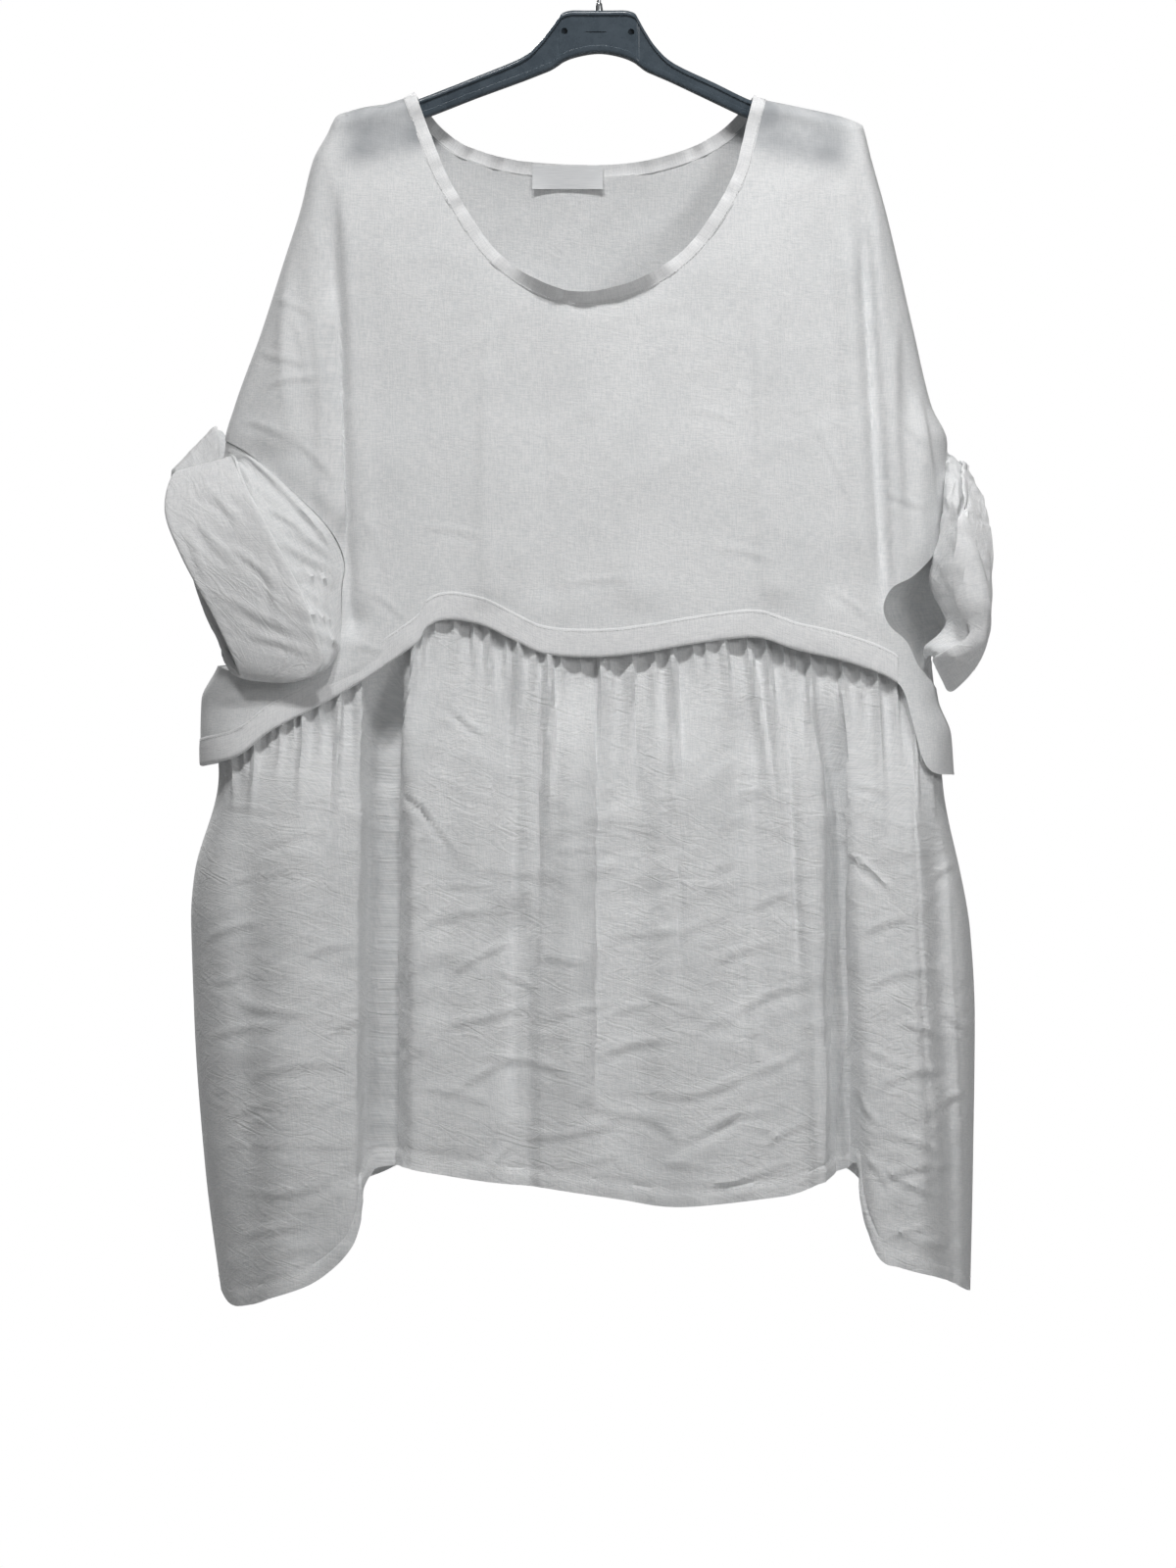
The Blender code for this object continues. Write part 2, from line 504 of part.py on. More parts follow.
def bodice_edges(side):
    """The panel's edge lines in order, each as a name and even points, anticlockwise from below."""
    front = side == FRONT
    hem = HEM_FRONT if front else HEM_BACK
    right_hole = ARMHOLE_RIGHT_FRONT if front else ARMHOLE_RIGHT_BACK[::-1]
    left_hole = ARMHOLE_LEFT_FRONT if front else ARMHOLE_LEFT_BACK[::-1]
    neck = NECK_FRONT if front else NECK_BACK[::-1]
    hem_left, hem_right = on_outline(hem[0][1], 0), on_outline(hem[-1][1], 1)
    under_right, over_right = on_outline(right_hole[0][1], 1), on_outline(right_hole[-1][1], 1)
    over_left, under_left = on_outline(left_hole[0][1], 0), on_outline(left_hole[-1][1], 0)
    tip_left, tip_right = SHOULDER_LEFT[-1], SHOULDER_RIGHT[0]
    neck_count = NECK_FRONT_COUNT if front else NECK_BACK_COUNT
    left_count = HOLE_LEFT_FRONT_COUNT if front else HOLE_COUNT
    return (
        ("hem", along_cloth(pinned(hem, hem_left, hem_right), HEM_COUNT, side)),
        ("side_right", outline_run(hem_right[1], under_right[1], 1, SIDE_COUNT)),
        ("hole_right", along(pinned(right_hole, under_right, over_right), HOLE_COUNT)),
        ("arm_right", outline_run(over_right[1], tip_right[1], 1, ARM_COUNT)),
        ("shoulder_right", along(SHOULDER_RIGHT, SHOULDER_COUNT)),
        ("neck", along_cloth(neck, neck_count, side, turn_ends=True)),
        ("shoulder_left", along(SHOULDER_LEFT, SHOULDER_COUNT)),
        ("arm_left", outline_run(tip_left[1], over_left[1], 0, ARM_COUNT)),
        ("hole_left", along(pinned(left_hole, over_left, under_left), left_count)),
        ("side_left", outline_run(under_left[1], hem_left[1], 0, SIDE_COUNT)),
    )


def band_columns(hem):
    """Which hem points the turned band runs over: all but the strip behind the right fold."""
    return [i for i in range(1, len(hem) - 1) if hem[i][0] < BAND_END_X]


def bodice_panel(side):
    """Points, faces and normals of a bodice panel, and the indices of each edge line."""
    edges = bodice_edges(side)
    outline, index = [], {}
    for name, line in edges:
        start = len(outline)
        outline.extend(line[:-1])
        index[name] = list(range(start, start + len(line)))
    outline = np.array(outline)
    index["side_left"][-1] = 0
    hem = outline[index["hem"]]
    inner_hem = hem[band_columns(hem)]
    band_rows = np.concatenate([inner_hem + (0, HEM_BAND_TALL), inner_hem + (0, HEM_BAND_TALL / 2)])
    close_rows = []
    strip = hem[len(inner_hem) + 1:-1]
    for rise in STRIP_ROWS:
        close_rows.append(strip + (0, rise))
    for line in (outline[index["shoulder_left"]], outline[index["shoulder_right"]]):
        for drop in SHOULDER_ROWS:
            close_rows.append(line - (0, drop))
    fine = []
    for line, column in (("arm_left", 0), ("side_left", 0), ("arm_right", 1), ("side_right", 1)):
        for z in outline[index[line]][1:-1, 1]:
            edge, fold = (float(hermite(BODY, z)[i]) for i in (column, column + 2))
            steps = TURN_STEPS_LOW if z < TURN_FINE_BELOW else TURN_STEPS
            fine.extend((edge + (fold - edge) * t, z) for t in steps)
            inward = 1 if column == 0 else -1
            fine.extend((fold + inward * past, z) for past in FOLD_COLUMNS)
    for z in np.arange(BODY[2][0], HEM_FRONT[0][1], -PANEL_STEP):
        fold_left, fold_right = (float(v) for v in hermite(BODY, z)[2:4])
        fine.extend((x, z) for x in (fold_left, fold_left + 10, fold_right - 10, fold_right))
        inner = np.arange(fold_left + PANEL_STEP, fold_right - 12, PANEL_ACROSS)
        fine.extend((x, z) for x in inner)
    close_rows = np.concatenate(close_rows)
    close_rows = close_rows[inside(outline, close_rows)
                            & (edge_distance(outline, close_rows) > OFF_EDGE_CLOSE)]
    fine = np.array(fine)
    above_band = fine[:, 1] > np.interp(fine[:, 0], *hem.T) + HEM_BAND_TALL + APART_CLOSE
    above_band |= fine[:, 0] > BAND_END_X
    off_edge = edge_distance(outline, fine) > OFF_EDGE_FINE
    fine = fine[inside(outline, fine) & off_edge & above_band]
    kept = thinned(close_rows, band_rows, APART_CLOSE)
    kept = thinned(fine, kept, APART_FINE)
    flat = np.concatenate([outline, kept])
    first, many = len(outline), len(inner_hem)
    band_lines = [(first + row * many + i, first + row * many + i + 1)
                  for row in (0, 1) for i in range(many - 1)]
    edge_loop = [list(range(len(outline)))]
    flat_out, _, faces, origin = delaunay_2d_cdt([tuple(p) for p in flat], band_lines,
                                                 edge_loop, 1, 1e-5, True)[:4]
    flat_out = np.array([tuple(p) for p in flat_out])
    faces = [face for face in faces
             if inside(outline, flat_out[list(face)].mean(axis=0)[None])[0]]
    order = {}
    for new, olds in enumerate(origin):
        for old in olds:
            order[old] = new
    index = {name: [order[i] for i in line] for name, line in index.items()}
    y = bodice(flat_out[:, 0], flat_out[:, 1], side)
    points = np.stack([flat_out[:, 0], y, flat_out[:, 1]], axis=1)
    seams = [index[name] for name in ("side_right", "arm_right", "shoulder_right",
                                      "shoulder_left", "arm_left", "side_left")]
    points[sum(seams, []), 1] = side * SEAM_GAP / 2
    if side == BACK:
        faces = [tuple(reversed(face)) for face in faces]
    normals = seam_normals(points, surface_normals(points, faces), seams)
    return points, [tuple(face) for face in faces], normals, index


def joined_ring(front_line, back_line):
    """One closed ring from two edge lines that share their ends, the shared ends averaged."""
    ring = np.concatenate([front_line[:-1], back_line[:-1]])
    ring[0] = (front_line[0] + back_line[-1]) / 2
    ring[len(front_line) - 1] = (front_line[-1] + back_line[0]) / 2
    return ring


def unit(vectors):
    return vectors / np.linalg.norm(vectors, axis=1, keepdims=True)


def round_stations(stations, marks, count):
    """count points round a closed smooth curve through the stations, each at its mark."""
    stations = np.array(stations, float)
    total = len(stations)
    at = np.interp(np.arange(count), (*marks, count), np.arange(total + 1))
    k = at.astype(int)
    t = (at - k)[:, None]
    p0, p1 = stations[(k - 1) % total], stations[k % total]
    p2, p3 = stations[(k + 1) % total], stations[(k + 2) % total]
    return 0.5 * (2 * p1 + (p2 - p0) * t + (2 * p0 - 5 * p1 + 4 * p2 - p3) * t**2
                  + (3 * p1 - p0 - 3 * p2 + p3) * t**3)


def sleeve_rows(ring, sections, marks, shares):
    """Rows of the sleeve's middle surface at these shares of its length."""
    keys = [(0.0, ring)]
    for share, stations in sections:
        at = [(x, y, z) for (x, z, y) in stations]
        keys.append((share, round_stations(at, marks, len(ring))))
    rows = []
    for share in shares:
        k = max(i for i in range(len(keys) - 1) if keys[i][0] <= share + 1e-9)
        (s0, first), (s1, second) = keys[k], keys[k + 1]
        rows.append(first + (second - first) * (share - s0) / (s1 - s0))
    return rows


def hem_band(name, side, look):
    """The doubled band along the bodice's free hem, made from the panel's points, moved out."""
    hem = dict(bodice_edges(side))["hem"]
    columns = band_columns(hem)
    rows = []
    for rise in (0.0, HEM_BAND_TALL / 2, HEM_BAND_TALL):
        flat = hem[columns] + (0, rise)
        rows.append(np.stack([flat[:, 0], bodice(flat[:, 0], flat[:, 1], side), flat[:, 1]], axis=1))
    points = np.concatenate(rows)
    faces = grid_faces(len(rows), len(columns))
    if side == BACK:
        faces = [tuple(reversed(face)) for face in faces]
    normals = surface_normals(points, faces)
    wall(name, points + normals * (CLOTH + SEAM_GAP + BAND_SLACK), faces, normals, CLOTH, look)


def skirt_panel(side):
    """Points, faces and normals of a skirt panel, hung from the seam behind the bodice's hem."""
    front = side == FRONT
    hem_line = np.array(dict(bodice_edges(side))["hem"])
    free_hem = np.array(SKIRT_HEM_FRONT if front else SKIRT_HEM_BACK)
    hang = np.array(HANG_FRONT if front else HANG_BACK)
    count = SKIRT_COLUMNS_FRONT if front else SKIRT_COLUMNS_BACK
    x_top, z_top = along_cloth(hem_line, count, side).T
    z_top = z_top + SEAM_ABOVE_HEM
    share = np.interp(x_top, *hang.T)
    place = np.arange(len(free_hem))
    x_low, z_low = (np.interp(share, place, column) for column in free_hem.T)
    rows = []
    for v in SKIRT_ROWS:
        x, z = x_top + (x_low - x_top) * v, z_top + (z_low - z_top) * v
        left, right = on_outline(z[0], 0)[0], on_outline(z[-1], 1)[0]
        x = left + (x - x[0]) * (right - left) / (x[-1] - x[0])
        rows.append((x, z, z_top - z))
    x, z, drop = (np.stack(column) for column in zip(*rows))
    bodice_folds, skirt_folds, tucks = (
        (BODICE_FRONT_FOLDS, SKIRT_FRONT_FOLDS, GATHERS_FRONT) if front
        else (BODICE_BACK_FOLDS, SKIRT_BACK_FOLDS, GATHERS_BACK)
    )
    fade = edge_fade(x, z)
    off = stand_off(x, z, side)
    off += (long_folds(x, z, bodice_folds) + long_folds(x, z, skirt_folds)) * fade
    y = side * np.maximum(off, SEAM_GAP / 2)
    y[:, 0] = y[:, -1] = side * SEAM_GAP / 2
    points = np.stack([x, y, z], axis=-1).reshape(-1, 3)
    faces = grid_faces(len(SKIRT_ROWS), count)
    if front:
        faces = [tuple(reversed(face)) for face in faces]
    down_left = [i * count for i in range(len(SKIRT_ROWS))]
    up_right = [(i + 1) * count - 1 for i in reversed(range(len(SKIRT_ROWS)))]
    normals = seam_normals(points, surface_normals(points, faces), (down_left, up_right))
    behind = CLOTH + SEAM_GAP + BEHIND + BEHIND_SIDES * (1.0 - fade)
    behind += BEHIND_LOW * smooth(drop / BEHIND_LOW_OVER)
    behind *= 1.0 - smooth((drop - SEAM_ABOVE_HEM - BEHIND_ENDS_FROM) / BEHIND_ENDS)
    moved = gathers(x, drop, tucks) * fade - behind
    points = points + normals * moved.reshape(-1, 1)
    points[down_left + up_right, 1] = side * SEAM_GAP / 2
    normals = seam_normals(points, surface_normals(points, faces), (down_left, up_right))
    return points, faces, normals


def sleeve(name, cuff_name, ring, ring_normals, left, look, cuff_look):
    """A short sleeve from its armhole ring, and the cuff turned up over it."""
    sections, marks, lifts = (
        (SLEEVE_LEFT, MARKS_LEFT, CUFF_LEFT_LIFT) if left
        else (SLEEVE_RIGHT, MARKS_RIGHT, CUFF_RIGHT_LIFT)
    )
    rows = sleeve_rows(ring, sections, marks, SLEEVE_SHARES)
    points = np.concatenate(rows)
    faces = grid_faces(len(rows), len(ring), closed=True)
    if left:
        faces = [tuple(reversed(face)) for face in faces]
    normals = surface_normals(points, faces)
    normals[: len(ring)] = unit(ring_normals + normals[: len(ring)])
    wall(name, points, faces, normals, CLOTH, look)
    lift = round_stations([(v,) for v in lifts], marks, len(ring))
    cuff_rows = []
    for i in range(CUFF_START, len(rows)):
        part = (i - CUFF_START) / (len(rows) - 1 - CUFF_START)
        away = CLOTH + SEAM_GAP + CUFF_OFF + lift * (1.0 - part)
        at = slice(i * len(ring), (i + 1) * len(ring))
        cuff_rows.append(points[at] + normals[at] * away)
    cuff_points = np.concatenate(cuff_rows)
    cuff_faces = grid_faces(len(cuff_rows), len(ring), closed=True)
    if left:
        cuff_faces = [tuple(reversed(face)) for face in cuff_faces]
    wall(cuff_name, cuff_points, cuff_faces, surface_normals(cuff_points, cuff_faces), CLOTH,
         cuff_look)


def ring_between(front_panel, back_panel, line, front_turned, back_turned):
    """The closed ring of an armhole or the neck, from the two panels' edge points."""
    rings = []
    for part in (0, 2):
        front = front_panel[part][front_panel[3][line]]
        back = back_panel[part][back_panel[3][line]]
        front = front[::-1] if front_turned else front
        back = back[::-1] if back_turned else back
        rings.append(joined_ring(front, back))
    return rings[0], unit(rings[1])


def into_opening(ring, normals, distance):
    """The ring carried off the panels' edge towards the middle of the opening, along the cloth."""
    tangent = np.roll(ring, -1, axis=0) - np.roll(ring, 1, axis=0)
    inward = unit(np.cross(tangent, normals))
    middle = ring.mean(axis=0)
    if np.sum(inward * (middle - ring)) < 0:
        inward = -inward
    return ring + inward * distance


def neck_binding(ring, normals, look):
    rows = [into_opening(ring, normals, BINDING_GAP + BINDING_WIDE * part) for part in (0, 0.5, 1)]
    faces = grid_faces(3, len(ring), closed=True)
    points = np.concatenate(rows)
    if np.sum(surface_normals(points, faces)[: len(ring)] * normals) < 0:
        faces = [tuple(reversed(face)) for face in faces]
    return wall("neck_binding", points, faces, np.tile(normals, (3, 1)), BINDING_THICK, look)


def label(look):
    """The bare woven label inside the back of the neck."""
    x_from, x_to, z_top, z_low = LABEL
    x, z = np.meshgrid(np.linspace(x_from, x_to, 7), np.linspace(z_low, z_top, 4))
    y = bodice(x, z, BACK) - BINDING_THICK / 2 - SEAM_GAP - LABEL_THICK
    points = np.stack([x, y, z], axis=-1).reshape(-1, 3)
    faces = grid_faces(4, 7)
    return wall("neck_label", points, faces, surface_normals(points, faces), LABEL_THICK, look)


def hanger(look):
    """Block and arms as one bar, its section a rectangle with cut corners."""
    rings = []
    for x, top, low, half in HANGER:
        cut = min(HANGER_EDGE, half * 0.6, (top - low) * 0.35)
        section = ((-half, low + cut), (-half + cut, low), (half - cut, low), (half, low + cut),
                   (half, top - cut), (half - cut, top), (-half + cut, top), (-half, top - cut))
        rings.append([(x, y, z) for y, z in section])
    faces = grid_faces(len(rings), 8, closed=True)
    faces = [tuple(reversed(face)) for face in faces]
    last = (len(rings) - 1) * 8
    faces += [tuple(range(8)), tuple(last + i for i in reversed(range(8)))]
    points = np.array(rings).reshape(-1, 3)
    return add_mesh("hanger_body", points, faces, look)


def hook_path():
    """Centre line of the hook: up the shank, out and over the crown to the tip."""
    radius = HOOK_INNER + HOOK_WIRE
    low = BLOCK_TOP + SEAM_GAP
    path = [(0.0, low), (0.0, low + COLLAR_TALL), (0.0, low + COLLAR_TALL + 0.5), *SHANK]
    for degrees in range(*CROWN_DEGREES):
        turn = math.radians(degrees)
        path.append((radius * math.cos(turn), -HOOK_INNER + radius * math.sin(turn)))
    return [np.array((x, 0.0, z)) for x, z in path]


def hook(look, sides=10):
    path = hook_path()
    radii = [COLLAR_LOW_R, COLLAR_TOP_R] + [HOOK_WIRE] * (len(path) - 2)
    points, faces = [], []
    for i, (centre, radius) in enumerate(zip(path, radii)):
        ahead, behind = path[min(i + 1, len(path) - 1)], path[max(i - 1, 0)]
        if i == 0:
            ahead = path[0] + (0.0, 0.0, 1.0)
        along_path = (ahead - behind) / np.linalg.norm(ahead - behind)
        across = np.cross(along_path, (0.0, 1.0, 0.0))
        for k in range(sides):
            turn = 2 * math.pi * k / sides
            points.append(centre + radius * (math.cos(turn) * across
                                             + math.sin(turn) * np.array((0.0, 1.0, 0.0))))
    faces = grid_faces(len(path), sides, closed=True)
    last = (len(path) - 1) * sides
    faces += [tuple(reversed(range(sides))), tuple(last + k for k in range(sides))]
    return add_mesh("hanger_hook", points, faces, look)


def turned_outward():
    """Faces of every piece set to point out of it."""
    for item in bpy.data.objects:
        edit = bmesh.new()
        edit.from_mesh(item.data)
        bmesh.ops.recalc_face_normals(edit, faces=edit.faces)
        if edit.calc_volume(signed=True) < 0:
            bmesh.ops.reverse_faces(edit, faces=edit.faces)
        edit.to_mesh(item.data)
        edit.free()


def build():
    for item in list(bpy.data.objects):
        bpy.data.objects.remove(item)
    linen = material("washed_linen", (0.80, 0.81, 0.81), 0.9)
    doubled = material("doubled_linen", (0.86, 0.87, 0.87), 0.9)
    woven = material("woven_label", (0.85, 0.85, 0.86), 0.6)
    plastic = material("hanger_plastic", (0.035, 0.042, 0.05), 0.35)
    metal = material("plated_steel", (0.72, 0.72, 0.73), 0.25, 1.0)
    front, back = bodice_panel(FRONT), bodice_panel(BACK)
    wall("front_bodice", *front[:3], CLOTH, linen)
    wall("back_bodice", *back[:3], CLOTH, linen)
    hem_band("front_hem_band", FRONT, doubled)
    hem_band("back_hem_band", BACK, doubled)
    wall("front_skirt", *skirt_panel(FRONT), CLOTH, linen)
    wall("back_skirt", *skirt_panel(BACK), CLOTH, linen)
    neck, neck_normals = ring_between(front, back, "neck", False, True)
    neck_binding(neck, neck_normals, doubled)
    for left in (True, False):
        word = "left" if left else "right"
        ring, normals = ring_between(front, back, "hole_" + word, not left, left)
        ring = into_opening(ring, normals, ARMHOLE_GAP)
        sleeve(word + "_sleeve", word + "_cuff", ring, normals, left, linen, doubled)
    label(woven)
    hanger(plastic)
    hook(metal)
    turned_outward()


if __name__ == "__main__":
    build()
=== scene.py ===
"""The looks of a washed-linen tunic top that hangs on a moulded plastic hanger.

Sizes are in millimetres in the tables and in metres in the meshes. The origin is the inner crown
of the hook, +Z is up and the front faces -Y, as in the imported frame.
"""

import math
from functools import lru_cache

import bmesh
import bpy
import numpy as np
from bpy.props import FloatProperty, FloatVectorProperty, PointerProperty
from bpy.types import Operator, Panel, PropertyGroup
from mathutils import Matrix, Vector
from mathutils.geometry import delaunay_2d_cdt


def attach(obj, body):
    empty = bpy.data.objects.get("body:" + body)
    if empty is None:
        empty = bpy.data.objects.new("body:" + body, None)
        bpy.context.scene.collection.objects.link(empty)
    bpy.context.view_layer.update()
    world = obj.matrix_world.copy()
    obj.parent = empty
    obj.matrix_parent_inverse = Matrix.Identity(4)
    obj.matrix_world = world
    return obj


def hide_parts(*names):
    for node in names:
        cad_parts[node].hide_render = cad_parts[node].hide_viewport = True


bl_info = {
    "name": "Tunic on a Hanger",
    "version": (1, 0, 0),
    "blender": (4, 5, 0),
    "location": "View3D > Sidebar > Tunic",
    "description": "Dresses a packed tunic top in washed linen and hangs it in a plain studio",
    "category": "Object",
}

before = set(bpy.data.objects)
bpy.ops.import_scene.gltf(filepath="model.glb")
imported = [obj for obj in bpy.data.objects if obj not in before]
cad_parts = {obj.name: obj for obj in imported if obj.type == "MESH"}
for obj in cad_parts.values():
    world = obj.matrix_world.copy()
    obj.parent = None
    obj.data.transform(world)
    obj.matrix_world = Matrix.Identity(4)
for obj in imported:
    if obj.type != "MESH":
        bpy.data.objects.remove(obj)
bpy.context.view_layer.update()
BODY_NAME = "root"

MM = 0.001
# The solids' own gaps and thicknesses, and how far a sleeve's seam lies under the bodice.
SEAM_GAP, SEAM_UNDER, CLOTH = 0.3, 0.8, 1.2
BINDING_THICK, BINDING_GAP, BINDING_WIDE = 2.0, 0.7, 8.5
LABEL_THICK = 0.6
SHOULDER_ROUND = 10.0  # how far below the shoulder seam the cloth has turned over it
# The waist seam lies behind the bodice's hem; its doubled band ends at this x, a little slack.
SEAM_ABOVE_HEM, BAND_END_X, BAND_SLACK = 18.0, 236.3, 0.3
# Extra points where the neck's edge turns over the shoulder seams, from their ends.
TURN_OVER = (1.5, 3.0, 5.0, 8.0)
FRONT, BACK = -1.0, 1.0
SIDES = ((FRONT, "front"), (BACK, "back"))
# How closely the cloth's points lie, in front and behind, and how many points the edges have for
# each one of the solids'.
STEP_FRONT, STEP_BACK, HOLE_RATIO = 3.0, 4.4, 5
SIDE_COUNT, ARM_COUNT, SHOULDER_COUNT = 6, 12, 6
HOLE_COUNT, HOLE_LEFT_FRONT_COUNT = 13, 15
HEM_POINTS, NECK_POINTS = 260, 170
SKIRT_COLUMNS_FRONT, SKIRT_ROWS_FRONT = 306, 155
SKIRT_COLUMNS_BACK, SKIRT_ROWS_BACK = 150, 100
SLEEVE_ROWS, SLEEVE_SOFTEN, CUFF_FROM = 61, 6, 0.52
SHARP_DEGREES = 50
LATTICE_ROW, LATTICE_START, LATTICE_STEPS, LINE_STEPS = 0.88, 0.2, 700, 3000
SKIRT_CROWDING = 1.15
# The turned hem: how tall and proud it is, the groove above it, how soft its edge and its groove
# are, and the puckers in it: their size across and down, their least height and their spread.
HEM_TURN_TALL, HEM_TURN_PROUD, HEM_TURN_GROOVE = 12.0, 1.3, 0.9
HEM_TURN_SOFT, HEM_GROOVE_HALF = 2.5, 4.0
HEM_PUCKER_ACROSS, HEM_PUCKER_DOWN, HEM_PUCKER_LEAST, HEM_PUCKER_MORE = 8.0, 12.0, 0.4, 1.6
HEM_STITCH_BELOW = 1.5
# Rows of the hem band, from its sewn top edge down and round its fold: how far above the fold's
# edge, and how far off the panel's middle surface as a share of the cloth and the gap.
BAND_FORM = (
    (21, 0.5), (20.3, 0.78), (19, 0.7), (17.4, 0.8), (14, 0.84), (10.5, 0.86), (7, 0.86),
    (4, 0.86), (1.8, 0.84), (0.5, 0.74), (-0.3, 0.5), (-0.6, 0.1), (-0.4, -0.3), (0.3, -0.6),
    (1.8, -0.7), (5, -0.7),
)
BAND_STITCH_ROW = 2
BAND_CRUMPLES = ((70, 60, 1.4, 0), (24, 14, 0.5, 20), (10, 7, 0.2, -20))
# The cuff's fold at the mouth of the sleeve: how far beyond the sleeve's edge, and how far off it.
CUFF_FOLD = ((0.9, 1.5), (1.7, 0.7), (1.9, -0.2), (1.3, -1.1), (0, -1.5), (-3, -1.5))
# The free edge's own turned hem: how far beyond the edge, and how far under it.
CUFF_HEM = ((-6, 1.9), (-1, 1.9), (0.5, 1.6), (1, 0.9), (0.7, 0.3))
CUFF_STITCH_ROW = 14
BINDING_ROWS, BINDING_BULGE, BINDING_ROLL, PUCKER = 11, 0.5, 9.0, 2.8
BINDING_OVER = 1.2
# Puckers of the binding, and where its front turns under: below this z, over this height.
PUCKER_LONG, PUCKER_ENDS, ROLL_FROM_Z, ROLL_OVER, ROLL_FRONT = 9.0, 20.0, -272.8, 22.0, 12.0
LABEL_CURL = 2.0
# How soft the hanger's shade is round it and in depth, and how far it reaches below.
SHADE_SPREAD, SHADE_DEEP, SHADE_BELOW = 14.0, 30.0, 12.0
STITCH_LIFT = 0.55  # a stitch stands this far off the cloth's middle surface
# The sleeve: how fast its cloth turns inwards, the groove at its seam and the share of its length
# that this and the calm cloth beside it take, and how much smoother the cloth under a cuff is.
SLEEVE_DIVE, SEAM_GROOVE, SEAM_GROOVE_SHARE, SLEEVE_CALM_SHARE = 2.6, 1.2, 0.02, 0.16
CUFF_SMOOTHER, CUFF_OFF, CUFF_EVENED = 0.5, 0.4, 14
SIDES_OVERLAP = 0.2  # the skirt's front and back meet and pass each other by this at the sides
HOOK_STEPS, HOOK_SIDES = 90, 28
# The steel collar's profile, as height above its foot and radius.
COLLAR_PROFILE = ((0, 2.6), (0, 3.2), (1.2, 3.2), (4.8, 2.65), (5.7, 2.6), (6.2, 2.1), (6.4, 1.7))
# Holes and a slot in the block's face: x, z, half its width, half its height, depth.
HANGER_HOLES = ((-27.3, -86.4, 2.6, 2.6, 4.6), (25.7, -87.2, 2.6, 2.6, 4.6),
                (-2.3, -87.2, 9.0, 0.5, 2.8))
# A hole's section: part of its depth, share of its width.
HOLE_SECTION, HOLE_SIDES = ((0.0, 1.35), (0.16, 1.0), (0.9, 0.96), (1.0, 0.8)), 32
HANGER_FRONT, HOLE_START = 8.8, 0.5
# The block stands proud of the arms, and a rim runs round a shallow recess in the front.
BLOCK_FROM, BLOCK_TO, BLOCK_PROUD, BLOCK_STEP = -32, 31.2, 0.8, 0.8
RECESS_DEEP, RIM_TOP, RIM_LOW, RECESS_FROM = 1.4, 3.6, 5.4, 6.0
# Lamp, its power's name, size, spread in degrees, place and what it points at.
LAMPS = (
    ("lamp_left", "key", 0.3, 50, (-0.85, -1.9, 2.3), (0.16, 0.0, -0.24)),
    ("lamp_centre", "key", 0.3, 50, (0.15, -1.9, 2.4), (0.08, 0.0, -0.26)),
    ("fill_light", "fill", 0.6, 180, (1.2, -1.6, 0.05), (0.0, 0.0, -0.35)),
    ("back_light", "back", 0.9, 180, (-1.0, 2.4, 0.6), (0.0, 0.0, -0.6)),
)
# The camera's place, the height of the frame at the tunic, and the floor, in metres.
CAMERA_X, CAMERA_Z, CAMERA_AWAY, FRAME_TALL = -0.0086, -0.685, 6.0, 1.248
FLOOR_WIDE, FLOOR_DEEP, FLOOR_Y = 3.0, 2.45, -0.275
SENSOR_TALL = 36.0  # in millimetres

# The arm and side outline, the fold line where the flat front begins, and how far the front
# and the back stand off the plane of the seams, from the shoulder tip down to the hem.
# z, x_left, x_right, fold_left, fold_right, deep_front, deep_back
BODY = (
    (-138.6, -207.5, 200.5, -197.3, 190.3, 11.5, 11.5),
    (-161.3, -212.9, 209.8, -202, 198.9, 12, 12), (-188.6, -227, 216.8, -209.8, 205.9, 17, 15),
    (-228.3, -237.1, 227.8, -214.5, 205.9, 23, 20), (-267.3, -249.6, 237.1, -211.4, 206.7, 27, 24),
    (-325.8, -268.3, 250.4, -207.5, 209, 31, 28), (-384.3, -289.4, 264.4, -203.6, 214.5, 35, 32),
    (-413.2, -297.2, 276.9, -202, 216.8, 38, 34), (-474, -298.7, 275.3, -198.1, 223.1, 43, 38),
    (-531.8, -300.3, 270.7, -194.2, 227, 48, 42), (-586.4, -301.9, 266, -192.7, 229.3, 53, 46),
    (-618.3, -315.9, 269.9, -207.5, 237.1, 56, 50), (-645.6, -316.7, 280, -234.8, 244.9, 59, 53),
    (-676.8, -315.1, 282.4, -258.2, 248.8, 63, 58), (-754.8, -324.5, 290.9, -262.1, 248.8, 72, 68),
    (-871.8, -321.4, 298.7, -250.4, 244.9, 84, 82), (-988.8, -312.8, 297.2, -238.7, 241, 94, 94),
    (-1098, -298.7, 294.8, -227, 237.1, 100, 102),
)
SHOULDER = (
    (-234.8, -107.4), (-214.5, -142.5), (-208.3, -153.5), (-199.7, -150.3), (-184.9, -146.4),
    (-169.3, -144.1), (-154.4, -139.4), (-129.5, -133.2), (104.5, -133.2), (131.8, -141),
    (158.3, -146.4), (187.2, -152.7), (202, -157.4), (211.4, -144.9), (233.2, -107.4),
)
